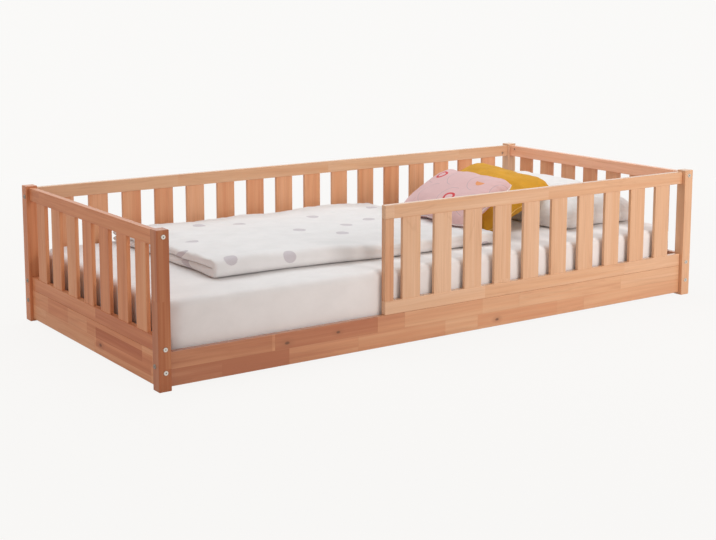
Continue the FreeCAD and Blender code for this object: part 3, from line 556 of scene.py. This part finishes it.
class Cover:
    """A pillow or cushion: two flat grids joined at the seam, filled by a cloth simulation."""

    def __init__(self, name, length, width, up, down, cell, blunt=5.0, spare=0.07, pressure=5.0, seed=1):
        self.name, self.up, self.down, self.seed = name, up, down, seed
        self.length, self.width = length, width
        self.pressure = pressure
        rows = np.linspace(-1, 1, round(length / cell) + 1)
        columns = np.linspace(-1, 1, round(width / cell) + 1)
        u, v = [grid.ravel() for grid in np.meshgrid(rows, columns, indexing="ij")]
        ring = np.maximum(np.maximum(np.abs(u), np.abs(v)), 1e-9)
        inner = ring < ON_SEAM
        shrink = (np.abs(u / ring) ** blunt + np.abs(v / ring) ** blunt) ** (-1 / blunt)
        pull = 1 + ring ** 2 * (shrink - 1)
        flat = np.stack([u * pull * length / 2, v * pull * width / 2], axis=1)
        self.pattern = np.concatenate([flat, flat[inner]])
        flat = flat * (1 + spare)
        rise = 0.10 * (up + down) * (1 - u ** 4) * (1 - v ** 4)
        rise *= 1 + 0.12 * ripple(flat, seed, 0.25)
        upper = np.column_stack([flat, rise])
        lower = np.column_stack([flat, -rise])[inner]
        index = np.arange(len(u)).reshape(len(rows), len(columns))
        below = index.copy().ravel()
        below[inner] = len(u) + np.arange(inner.sum())
        below = below.reshape(index.shape)
        faces = []
        for i in range(len(rows) - 1):
            for j in range(len(columns) - 1):
                faces.append((index[i, j], index[i + 1, j], index[i + 1, j + 1], index[i, j + 1]))
                faces.append((below[i, j], below[i, j + 1], below[i + 1, j + 1], below[i + 1, j]))
        uv = np.concatenate([flat, flat[inner] + 0.5])
        self.item = make_piece(name, np.concatenate([upper, lower]), faces, uv)
        p, q = u / ring, v / ring
        eighths = np.select([p > ON_SEAM, q > ON_SEAM, p < -ON_SEAM], [1 + q, 3 - p, 5 - q], 7 + p)
        side = eighths * math.pi / 4
        girth = (length + width) / math.pi
        place = np.column_stack([np.cos(side) * girth, np.sin(side) * girth, ring])
        attribute = self.item.data.attributes.new("seam_place", "FLOAT_VECTOR", "POINT")
        attribute.data.foreach_set("vector", np.concatenate([place, place[inner]]).ravel())
        self.lower = np.arange(len(u) + inner.sum()) >= len(u)

    def seam_places(self):
        """Where each vertex is round the seam, as a point on a circle, and its share of the way out to it."""
        flat = np.empty(len(self.item.data.vertices) * 3)
        self.item.data.attributes["seam_place"].data.foreach_get("vector", flat)
        return flat.reshape(-1, 3)

    def add_cloth(self):
        """Set up the simulation."""
        cloth = self.item.modifiers.new("cloth", "CLOTH")
        rules = cloth.settings
        rules.quality = 5
        rules.mass = 0.15
        rules.air_damping = 4
        rules.tension_stiffness = 25
        rules.compression_stiffness = 25
        rules.shear_stiffness = 8
        rules.bending_stiffness = 0.12
        rules.use_pressure = True
        rules.uniform_pressure_force = self.pressure
        rules.effector_weights.gravity = 0
        cloth.collision_settings.use_collision = False
        cloth.point_cache.frame_start = 1
        cloth.point_cache.frame_end = CACHED_FRAMES

    def take_cloth(self):
        """Keep the simulated shape and drop the simulation."""
        points = positions(self.item.evaluated_get(bpy.context.evaluated_depsgraph_get()))
        self.item.modifiers.clear()
        set_positions(self.item, points)

    def fit(self, foot, full, pull=0.015):
        """Scale to the size of the solid: sides that pull in a little between blunt corners, a full crown, and
        an underside that is flat out to a share of its width. The upper side keeps a little of the simulated
        shape, and the underside none of it."""
        points = positions(self.item)
        ring = self.seam_places()[:, 2]
        half = np.array([self.length, self.width]) / 2
        points -= (points.max(axis=0) + points.min(axis=0)) / 2 * np.array([1, 1, 0])
        blown_share = points[:, :2] / points[:, :2].max(axis=0)
        share = self.pattern / half
        turn = np.arctan2(share[:, 1], share[:, 0])
        share = share * (1 - pull * np.cos(2 * turn) ** 2 * ring ** 2)[:, None]
        rim = np.flatnonzero(ring > ON_SEAM)
        rim = rim[np.argsort(turn[rim])]
        level = np.interp(turn, turn[rim], points[rim, 2], period=2 * math.pi)
        points[:, 2] -= level * ring ** 2
        points[:, :2] = ((1 - BLOWN_OUTLINE) * share + BLOWN_OUTLINE * blown_share) * half
        points[:, :2] *= 2 * half / np.ptp(points[:, :2], axis=0)
        blown = (np.maximum(points[:, 2], 0) / points[:, 2].max()) ** 0.8
        crown = np.maximum(1 - ring ** 2.2, 0) ** full * (1 - 0.35 * (share[:, 0] * share[:, 1]) ** 2)
        points[:, 2] = self.up * ((1 - BLOWN_HEIGHT) * crown + BLOWN_HEIGHT * blown)
        beyond = np.clip((ring[self.lower] - foot) / (1 - foot), 0, 1)
        points[self.lower, 2] = -self.down * np.sqrt(1 - beyond ** 2)
        points[:, 2] += SEAM_WOBBLE * ripple(self.seam_places()[:, :2], self.seed + 5, 0.42, 2) * ring ** 4
        set_positions(self.item, points)

    def wrinkle(self, gather, crease):
        """Puckers that run in from the seam, and loose creases over the whole cover, in metres."""
        refine(self.item)
        bpy.context.view_layer.objects.active = self.item
        bpy.ops.object.modifier_apply(modifier="subdivision")
        points, places = positions(self.item), self.seam_places()
        normals = np.empty(len(points) * 3)
        self.item.data.vertices.foreach_get("normal", normals)
        ring = places[:, 2]
        near = np.exp(-(1 - ring) / 0.13) * np.clip((1 - ring) / 0.03, 0, 1)
        pucker = ripple(places[:, :2], self.seed, 0.034, 2) - 0.4
        slack = ripple(places[:, :2], self.seed + 1, 0.16, 1)
        fold = 0.5 - np.abs(ripple(points * np.array([1.0, 0.55, 1.0]), self.seed + 2, 0.15, 3))
        move = gather * pucker * near * (0.7 + 0.5 * slack)
        move += crease * np.minimum(fold, 0.4) * np.clip((1 - ring) / 0.2, 0, 1)
        normals = normals.reshape(-1, 3)
        move = np.where(normals[:, 2] < 0, np.minimum(move, 0), move)
        set_positions(self.item, points + normals * move[:, None])

    def place(self, matrix, body, node, material, slot, fill, welt=None):
        turn = np.array(matrix.to_3x3())
        points = positions(self.item) @ turn.T + np.array(matrix.translation)
        points[:, 2] = np.maximum(points[:, 2], SHEET_TOP + COVER_LIFT)
        set_positions(self.item, points)
        self.item.data.materials.append(material)
        refine(self.item)
        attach(self.item, body)
        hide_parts(node)
        if welt is not None:
            places = self.seam_places()
            rim = np.flatnonzero(places[:, 2] > ON_FINE_SEAM)
            rim = rim[np.argsort(np.arctan2(places[rim, 1], places[rim, 0]))]
            path = points[rim]
            path[:, 2] = np.maximum(path[:, 2], SHEET_TOP + WELT_LIFT)
            edge = tube(self.name + "_welt", path, WELT_RADIUS)
            edge.data.materials.append(welt)
            refine(edge)
            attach(edge, body)


def dent(under, over, gap=0.0012):
    """Press the upper side of a cover in where another one leans on it."""
    faces = [tuple(face.vertices) for face in over.item.data.polygons]
    shape = BVHTree.FromPolygons(positions(over.item).tolist(), faces)
    points = positions(under.item)
    for n, point in enumerate(points):
        hit = shape.ray_cast((point[0], point[1], 0), (0, 0, 1))[0]
        if hit is not None and hit.z - gap < point[2]:
            points[n, 2] = hit.z - gap
    set_positions(under.item, points)


def simulate(covers, frames):
    """Run the covers' cloth side by side, without contact between them, and keep the result."""
    for cover in covers:
        cover.add_cloth()
    for step in range(1, frames + 1):
        SCENE.frame_set(step)
    for cover in covers:
        cover.take_cloth()
    SCENE.frame_set(1)


# Fabrics


CLOTH_ROUGHNESS = 0.88


def fabric(name, colour, thread=0.0006, depth=0.25, sheen=0.15, crease=0.0, overlay=None, even=0.94):
    """Woven cloth: threads both ways, slight unevenness of tone, and an overlay of dots or motifs."""
    graph = Graph(name)
    u, v, _ = graph.axes("UV")
    wave_u = graph.math("SINE", graph.times(u, 2 * math.pi / thread))
    wave_v = graph.math("SINE", graph.times(v, 2 * math.pi / thread))
    weave = graph.times(wave_u, wave_v)
    space = graph.combine(u, v, 0.0)
    slub = graph.noise(graph.combine(graph.times(u, 60.0), graph.times(v, 900.0), 0.0), 1.0, 2.0)
    cloud = graph.noise(space, 14.0, 3.0, 0.6)
    shade = tuple(even * c for c in colour)
    tone = graph.mix(graph.span(cloud, 0.3, 0.7), shade, colour)
    tone = graph.mix(graph.span(slub, 0.35, 0.75, 0.0, 0.35), tone, shade)
    if overlay is not None:
        tone = overlay(graph, u, v, tone)
    height = graph.plus(graph.times(weave, 0.5), graph.times(slub, 0.8))
    normal = graph.bump(height, depth, 0.0003)
    if crease:
        folds = graph.noise(graph.combine(graph.times(u, 30.0), graph.times(v, 95.0), 0.0),
                            1.0, 3.0, 0.6, 0.8)
        normal = graph.bump(folds, 0.7, crease, normal)
    return graph.finish(tone, CLOTH_ROUGHNESS, normal,
                        Sheen_Weight=sheen, Sheen_Roughness=0.5, Specular_IOR_Level=0.25)


DOT_RADIUS = 0.022


def dots(graph, u, v, tone):
    """Pale grey-lilac hatched dots: the second flat map of the cloth holds the way to the nearest middle."""
    nearest = graph.tree.nodes.new("ShaderNodeUVMap")
    nearest.uv_map = "dots"
    split = graph.tree.nodes.new("ShaderNodeSeparateXYZ")
    graph.plug(split.inputs[0], nearest.outputs[0])
    step_u, step_v = split.outputs[0], split.outputs[1]
    far = graph.reach(step_u, step_v)
    disc = graph.span(far, DOT_RADIUS - 0.0010, DOT_RADIUS, 1.0, 0.0)
    slope = graph.plus(graph.times(u, 0.6), v)
    hatch = graph.math("SINE", graph.times(slope, 2 * math.pi / 0.0042))
    ink = graph.times(disc, graph.span(hatch, -0.6, 0.5, 0.60, 0.95))
    return graph.mix(ink, tone, (0.57, 0.52, 0.56))


def motifs(graph, u, v, tone):
    """Small generic rings, half discs and thin arcs in coral, orange and grey."""
    pitch = 0.112
    row_place = graph.math("DIVIDE", v, pitch)
    row = graph.math("FLOOR", row_place)
    odd = graph.times(graph.math("MODULO", graph.math("ABSOLUTE", row), 2.0), 0.5)
    place = graph.plus(graph.math("DIVIDE", u, pitch), odd)
    column = graph.math("FLOOR", place)
    pick = graph.speckle(graph.combine(column, row, 4.2))
    step_u = graph.times(graph.minus(graph.math("FRACT", place), 0.5), pitch)
    step_v = graph.times(graph.minus(graph.math("FRACT", row_place), 0.5), pitch)
    far = graph.reach(step_u, step_v)
    ring = graph.span(graph.math("ABSOLUTE", graph.minus(far, 0.0195)), 0.0042, 0.0052, 1.0, 0.0)
    half = graph.times(graph.span(far, 0.0200, 0.0208, 1.0, 0.0), graph.math("GREATER_THAN", step_v, 0.0))
    arc = graph.span(graph.math("ABSOLUTE", graph.minus(far, 0.052)), 0.0006, 0.0013, 1.0, 0.0)
    arc = graph.times(arc, graph.math("GREATER_THAN", step_u, 0.0))
    tone = graph.mix(graph.times(arc, 0.55), tone, (0.30, 0.29, 0.33))
    is_ring = graph.math("LESS_THAN", pick, 0.45)
    is_half = graph.math("GREATER_THAN", pick, 0.72)
    tone = graph.mix(graph.times(graph.times(ring, is_ring), 0.96), tone, (0.62, 0.04, 0.05))
    return graph.mix(graph.times(graph.times(half, is_half), 0.85), tone, (0.80, 0.30, 0.08))


WHITE = (0.86, 0.85, 0.85)
# The sheet's slight pink over white is painted warm shade
sheet_cloth = fabric("white_jersey_warm_shade", (0.86, 0.84, 0.835), 0.0008, 0.2)
pillow_cloth = fabric("white_cotton", (0.88, 0.87, 0.865))
duvet_cloth = fabric("dotted_cotton", WHITE, overlay=dots)
yellow_cloth = fabric("mustard_muslin", (0.74, 0.37, 0.030), 0.0009, 0.35, sheen=0.05,
                      crease=0.0020, even=0.80)
# The mustard welt is paler than the cushion: a painted highlight along the seam
yellow_welt_highlight = fabric("mustard_welt_highlight", (0.86, 0.55, 0.15), sheen=0.05)
pink_cloth = fabric("printed_cotton", (0.76, 0.51, 0.51), sheen=0.08, overlay=motifs)
pink_edge = fabric("pale_welt", (0.84, 0.77, 0.76))


# Mattress and fitted sheet


def spread(low, high, radius, coarse):
    """Places along an edge, close together at its rounded ends."""
    ends = np.array([0, 0.2, 0.45, 0.7, 0.9, 1.1, 1.6, 2.3]) * radius
    inner = np.linspace(low + 3.2 * radius, high - 3.2 * radius, max(2, round((high - low) / coarse)))
    return np.concatenate([low + ends, inner, (high - ends)[::-1]])


def rounded_block(low, high, radius, coarse):
    """Points, faces, flat coordinates and outward directions of a rounded block."""
    low, high = np.array(low), np.array(high)
    rows = [spread(low[axis], high[axis], radius, coarse[axis]) for axis in range(3)]
    points, faces, uv, total = [], [], [], 0
    for axis in range(3):
        first, second = [other for other in range(3) if other != axis]
        for side in (0, 1):
            a, b = [grid.ravel() for grid in np.meshgrid(rows[first], rows[second], indexing="ij")]
            sheet = np.empty((len(a), 3))
            sheet[:, first], sheet[:, second], sheet[:, axis] = a, b, (low, high)[side][axis]
            points.append(sheet)
            uv.append(np.stack([a, b + sheet[:, axis]], axis=1))
            n, m = len(rows[first]), len(rows[second])
            flip = (side == 1) == (axis != 1)
            for i in range(n - 1):
                for j in range(m - 1):
                    quad = [total + i * m + j, total + (i + 1) * m + j, total + (i + 1) * m + j + 1,
                            total + i * m + j + 1]
                    faces.append(tuple(quad if flip else quad[::-1]))
            total += len(a)
    points, uv = np.concatenate(points), np.concatenate(uv)
    _, keep, same = np.unique(np.round(points, 6), axis=0, return_index=True, return_inverse=True)
    same = same.ravel()
    faces = [tuple(int(same[corner]) for corner in face) for face in faces]
    points, uv = points[keep], uv[keep]
    core = np.clip(points, low + radius, high - radius)
    away = points - core
    away /= np.maximum(np.linalg.norm(away, axis=1), 1e-9)[:, None]
    return core + radius * away, faces, uv, away


CORNER = 0.058


def round_corners(points, low, high):
    """Draw the four upright corners of a block in to round ones."""
    middle, reach = (low + high)[:2] / 2, (high - low)[:2] / 2 - CORNER
    side = points[:, :2] - middle
    past = np.maximum(np.abs(side) - reach, 0)
    both = (past > 1e-6).all(axis=1)
    shrink = np.ones(len(points))
    shrink[both] = (past[both] ** 6).sum(axis=1) ** (1 / 6) / np.linalg.norm(past[both], axis=1)
    flat = np.sign(side) * (np.minimum(np.abs(side), reach) + past * shrink[:, None]) + middle
    return np.column_stack([flat, points[:, 2]])


def corners_of(node):
    """The low and high corner of a CAD node in metres."""
    low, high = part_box(node)
    return np.array(low), np.array(high)


def make_mattress():
    """The foam mattress: a quilted cover inside the fitted sheet."""
    low, high = corners_of("mattress")
    points, faces, uv, away = rounded_block(low, high, 0.022, (0.022, 0.022, 0.03))
    diamond = np.sin(points[:, 0] * 2 * math.pi / 0.12) * np.sin(points[:, 1] * 2 * math.pi / 0.12)
    points = round_corners(points - away * (0.0036 + 0.0012 * diamond)[:, None], low, high)
    item = make_piece("mattress_cover", points, faces, uv)
    item.data.materials.append(fabric("mattress_ticking", (0.82, 0.81, 0.79), 0.0012, 0.4))
    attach(item, "mattress")
    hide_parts("mattress")


SHEET_RIM = 0.11
SHEET_THICKNESS = 0.0008


def make_sheet():
    """The fitted sheet: stretched over the mattress and turned under it by the width of its rim."""
    low, high = corners_of("fitted_sheet")
    points, faces, uv, away = rounded_block(low, high, 0.0234, (0.016, 0.016, 0.014))
    middle, half = (low + high)[:2] / 2, (high - low)[:2] / 2
    beneath = points[:, 2] < low[2] + 0.0005
    gone = beneath & (np.abs(points[:, :2] - middle) < half - SHEET_RIM).all(axis=1)
    faces = [face for face in faces if not any(gone[corner] for corner in face)]
    used = np.unique(np.array(faces).ravel())
    order = np.full(len(points), -1)
    order[used] = np.arange(len(used))
    faces = [tuple(int(order[corner]) for corner in face) for face in faces]
    points, uv, away = points[used], uv[used], away[used]
    side = np.clip(np.abs(away[:, :2]).max(axis=1), 0, 1)
    height = (points[:, 2] - low[2]) / (high - low)[2]
    run = points[:, :2]
    scallop = ripple(run, 7, 0.13, 3) * np.exp(-((height - 0.92) / 0.2) ** 2)
    drape = ripple(np.column_stack([run, 0.15 * points[:, 2]]), 11, 0.11, 3) * side
    drape *= 0.25 + 0.75 * (1 - height)
    swell = ripple(points, 13, 0.45, 2)
    rim_near = np.exp(-(half - np.abs(run - middle)).min(axis=1) / 0.05)
    top = np.clip(away[:, 2], 0, 1) ** 2
    shift = 0.0018 * scallop * side + 0.0011 * drape + 0.0006 * swell * side - 0.0004
    above = -0.0011 + 0.0007 * ripple(run, 17, 0.30, 2) + 0.0016 * scallop * rim_near
    shift = np.clip(shift, -0.0028, 0.003) * (1 - top) + np.clip(above, -0.0028, 0.0) * top
    shift = np.where(away[:, 2] < -0.5, 0.0, shift)
    points = round_corners(points + away * shift[:, None], low, high)
    item = make_piece("fitted_sheet_cloth", points, faces, uv)
    thick = item.modifiers.new("thickness", "SOLIDIFY")
    thick.thickness = SHEET_THICKNESS
    thick.offset = -1
    bpy.context.view_layer.objects.active = item
    bpy.ops.object.modifier_apply(modifier="thickness")
    item.data.materials.append(sheet_cloth)
    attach(item, "mattress")
    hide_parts("fitted_sheet")


make_mattress()
make_sheet()


# Folded duvet

DUVET_SHARES = (0.0, 0.08, 0.22, 0.38, 0.55, 0.75, 0.90, 1.0)
DUVET_DRAW = (1.0, 1.0, 0.95, 0.70, 0.10, 0.0, 0.0, 0.0)
DUVET_FRONT = (0.86, 0.98, 0.97, 0.87, 0.72, 0.66, 0.68, 0.60)
DUVET_MIDDLE = (1.06, 1.18, 1.06, 1.00, 0.97, 1.04, 1.00, 0.90)
DUVET_BACK = (0.93, 1.00, 1.03, 0.96, 0.98, 1.01, 0.98, 0.88)


def end_dense(low, high, step, edge):
    """Places from low to high, close together within an edge at both ends."""
    ends = edge * np.array([0, 0.03, 0.1, 0.22, 0.4, 0.62, 0.85])
    inner = np.linspace(low + 1.1 * edge, high - 1.1 * edge, round((high - low) / step))
    return np.concatenate([low + ends, inner, (high - ends)[::-1]])


def lip(distance, edge):
    """The thickness share near a hem: round, and full beyond the edge."""
    near = np.clip(distance / edge, 0, 1)
    return np.sqrt(1 - (1 - near) ** 2)


TOP_DOTS = ((-0.488, 0.320), (-0.654, 0.046), (-0.354, 0.276), (-0.246, 0.061), (-0.171, -0.080),
            (-0.079, 0.242), (-0.067, 0.047), (0.057, 0.098), (0.215, 0.300))
FRONT_DOTS = ((-0.702, 0.028), (-0.503, 0.008), (0.234, -0.030))
END_DOTS = ((-0.064, True), (0.190, True), (-0.101, False), (0.330, False))


def along_cloth(grid, apex):
    """How far each point of a grid lies along the cloth, from its middle row and from the fold."""
    rows = np.cumsum(np.linalg.norm(np.diff(grid, axis=0, prepend=grid[:1]), axis=2), axis=0)
    columns = np.cumsum(np.linalg.norm(np.diff(grid, axis=1, prepend=grid[:, :1]), axis=2), axis=1)
    return np.stack([rows - rows[len(grid) // 2], columns - columns[:, apex:apex + 1]], axis=2)


def dot_places(outer, apex):
    """The grid places of the dots' middles: on the top, on the front fold and on the hems at the foot end."""
    cloth = along_cloth(outer, apex)
    places = []
    for x, y in TOP_DOTS:
        far = np.hypot(outer[:, :, 0] - x, outer[:, :, 1] - y)
        far[:, :apex + 9] = 1.0
        places.append(np.unravel_index(far.argmin(), far.shape))
    for x, above in FRONT_DOTS:
        row = np.abs(outer[:, apex, 0] - x).argmin()
        places.append((row, np.abs(cloth[row, :, 1] - above).argmin()))
    for y, upper in END_DOTS:
        far = np.abs(outer[0, :, 1] - y)
        far[(np.arange(len(far)) > apex) != upper] = 1.0
        places.append((0, far.argmin()))
    return places


def dot_steps(grids, places, apex):
    """For each face corner of the grids, the way to the dot nearest to the face."""
    steps = []
    for grid, order in grids:
        cloth = along_cloth(grid, apex)
        middles = np.array([cloth[place] for place in places])
        corners = [cloth[:-1, :-1], cloth[1:, :-1], cloth[1:, 1:], cloth[:-1, 1:]]
        corners = np.stack([corners[n] for n in order], axis=2).reshape(-1, 4, 2)
        far = np.linalg.norm(corners.mean(axis=1)[:, None] - middles[None], axis=2)
        steps.append(corners - middles[far.argmin(axis=1)][:, None])
    return np.concatenate(steps)


def make_duvet():
    """The duvet folded once over: two thick layers joined by the front fold."""
    low, high = corners_of("duvet")
    start, stop = low[0] + 0.001, high[0] - 0.001
    base = low[2] + 0.0002
    x = end_dense(start, stop, 0.0085, 0.022)
    share = (x - start) / (stop - start)

    def along(row, scale):
        return smooth_row(np.interp(share, DUVET_SHARES, row), 15) * scale

    draw, tall = along(DUVET_DRAW, 0.038), along(DUVET_FRONT, 0.066)
    middle, back = along(DUVET_MIDDLE, 0.043), along(DUVET_BACK, 0.043)
    front_y, back_y = -0.330 + draw, np.full(len(x), 0.425)
    runs = end_dense(0.0, 1.0, 0.0112, 0.03)[::-1]
    runs = runs[runs > 0.0]
    turn = np.linspace(-1, 1, 19) * math.pi / 2
    blunt = np.where(turn < 0, 0.62, 0.88)

    def blunted(power):
        """A half circle with its two coordinates raised to a power."""
        return np.cos(turn) ** power, np.sign(turn) * np.abs(np.sin(turn)) ** power

    bow, lift = blunted(blunt)
    face = np.stack(blunted(2 - blunt), axis=1)
    face /= np.linalg.norm(face, axis=1)[:, None]
    gap = 0.0007
    layers = []
    for i in range(len(x)):
        centre_y = front_y[i] + tall[i] / 2
        reach = back_y[i] - centre_y
        y = centre_y + runs * reach
        heights = (tall[i], 0.5 * (tall[i] + middle[i]) + 0.0015, middle[i],
                   0.5 * (middle[i] + back[i]) + 0.001, back[i])
        full = smooth_row(np.interp(runs, (0, 0.15, 0.5, 0.78, 1.0), heights), 9)
        lower = np.column_stack([y, full / 4, np.zeros_like(y), -np.ones_like(y), full])
        bend = np.column_stack([centre_y - tall[i] / 4 * bow, tall[i] / 2 + tall[i] / 4 * lift,
                                -face[:, 0], face[:, 1], np.full(len(turn), tall[i])])
        upper = np.column_stack([y, 3 * full / 4, np.zeros_like(y), np.ones_like(y), full])[::-1]
        layers.append(np.concatenate([lower, bend, upper]))
    layers = np.array(layers)
    count = layers.shape[1]
    steps = np.linalg.norm(np.diff(layers[:, :, :2], axis=1), axis=2)
    path = np.concatenate([np.zeros((len(x), 1)), np.cumsum(steps, axis=1)], axis=1)
    from_hem = np.minimum(path, path[:, -1:] - path)
    from_end = np.minimum(x - start, stop - x)[:, None] * np.ones((1, count))
    thick = (layers[:, :, 4] / 2 - gap) * lip(from_hem, 0.013) * lip(from_end, 0.012)
    grid_x = np.repeat(x[:, None], count, axis=1)
    mid = np.stack([grid_x, layers[:, :, 0], layers[:, :, 1]], axis=2)
    out = np.stack([np.zeros_like(grid_x), layers[:, :, 2], layers[:, :, 3]], axis=2)
    flat = mid.reshape(-1, 3)
    cloth = np.column_stack([grid_x.ravel(), path.ravel()])
    free = np.clip(0.35 + out[:, :, 2], 0, 1)

    def waves(stretch, seed, wavelength, octaves):
        """Smooth noise over the cloth, drawn out along its length or its run."""
        return ripple(cloth * np.array(stretch), seed, wavelength, octaves).reshape(grid_x.shape)

    near_hem = np.exp(-from_hem / 0.035)
    near_end = np.exp(-from_end / 0.04)
    broad = thick / np.maximum(layers[:, :, 4] / 2 - gap, 1e-6)
    crease = np.minimum(0.5 - np.abs(waves((0.6, 1.0), 31, 0.24, 3)), 0.4)
    rise = 0.0013 * waves((0.22, 1.0), 21, 0.085, 3) + 0.0024 * waves((1.0, 1.0), 23, 0.34, 2)
    rise += 0.0014 * waves((1.0, 0.3), 25, 0.040, 2) * near_hem
    rise += 0.0018 * waves((0.3, 1.0), 27, 0.045, 2) * near_end
    rise += 0.0034 * crease
    rise -= 0.0012
    rise *= free * broad
    slack = 0.0045 * waves((0.1, 1.0), 29, 0.22, 2)
    drawn_in = 0.004 * np.exp(-(x - start)[:, None] / 0.05) * (free > 0.9)
    mid[:, :, 0] += slack * np.exp(-from_end / 0.05) - drawn_in
    mid[:, :, 0] = np.maximum(mid[:, :, 0], low[0])
    outer = mid + out * (thick / 2 + rise)[:, :, None]
    inner = mid - out * (thick / 2)[:, :, None]
    inner_free = np.ones(grid_x.shape, bool)
    inner_free[[0, -1]] = False
    inner_free[:, [0, -1]] = False
    index = np.arange(grid_x.size).reshape(grid_x.shape)
    below = index.copy()
    below[inner_free] = grid_x.size + np.arange(inner_free.sum())
    outer[~inner_free] = mid[~inner_free]
    points = np.concatenate([outer.reshape(-1, 3), inner[inner_free]])
    points[:, 2] = np.maximum(points[:, 2], 0) + base
    uv = np.concatenate([cloth, cloth.reshape(grid_x.shape + (2,))[inner_free]])
    a, b, c, d = index[:-1, :-1], index[1:, :-1], index[1:, 1:], index[:-1, 1:]
    faces = np.stack([a, d, c, b], axis=2).reshape(-1, 4).tolist()
    a, b, c, d = below[:-1, :-1], below[1:, :-1], below[1:, 1:], below[:-1, 1:]
    faces += np.stack([a, b, c, d], axis=2).reshape(-1, 4).tolist()
    apex = len(runs) + len(turn) // 2
    inner[~inner_free] = mid[~inner_free]
    steps = dot_steps(((outer, (0, 3, 2, 1)), (inner, (0, 1, 2, 3))), dot_places(outer, apex), apex)
    item = make_piece("folded_duvet", points, faces, uv, steps)
    item.data.materials.append(duvet_cloth)
    refine(item)
    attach(item, "duvet")
    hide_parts("duvet")


make_duvet()


# Pillow and cushions


def pose(spot, yaw, pitch, roll, quarter=False):
    """A place in millimetres and turns in degrees about Z, then Y, then X."""
    turn = Matrix.Rotation(math.radians(yaw), 4, "Z") @ Matrix.Rotation(math.radians(pitch), 4, "Y")
    turn = turn @ Matrix.Rotation(math.radians(roll), 4, "X")
    if quarter:
        turn = turn @ Matrix.Rotation(math.radians(90), 4, "Z")
    return Matrix.Translation(Vector(spot) * MM) @ turn


pillow = Cover("head_pillow", 0.742, 0.386, 0.096, 0.044, 0.0115, 9.0, 0.06, 5.0, 3)
yellow = Cover("mustard_cushion", 0.370, 0.370, 0.062, 0.044, 0.0095, 8.0, 0.08, 6.0, 5)
pink = Cover("printed_cushion", 0.375, 0.262, 0.058, 0.026, 0.0095, 7.0, 0.07, 6.0, 9)
simulate((pillow, yellow, pink), SIMULATED_FRAMES)
pillow.fit(0.92, 0.50)
yellow.fit(0.45, 0.32)
pink.fit(0.45, 0.30, 0.0)
pillow.wrinkle(0.0042, 0.0060)
yellow.wrinkle(0.0032, 0.0036)
pink.wrinkle(0.0026, 0.0030)

pillow.place(pose((793, 74, 284.3), 0, 0, 0, True), "pillow", "pillow", pillow_cloth, "white_cotton", 0.7)
yellow.place(pose((487, 0, 332.3), 7, -20.8, 6.4),
             "back_cushion", "yellow_cushion", yellow_cloth, "yellow_cotton", 0.75, yellow_welt_highlight)
pink.place(pose((313.5, -67, 352.9), 0, -29, 0, True),
           "front_cushion", "pink_cushion", pink_cloth, "pink_cotton", 0.75, pink_edge)
dent(yellow, pink)
dent(pillow, yellow)
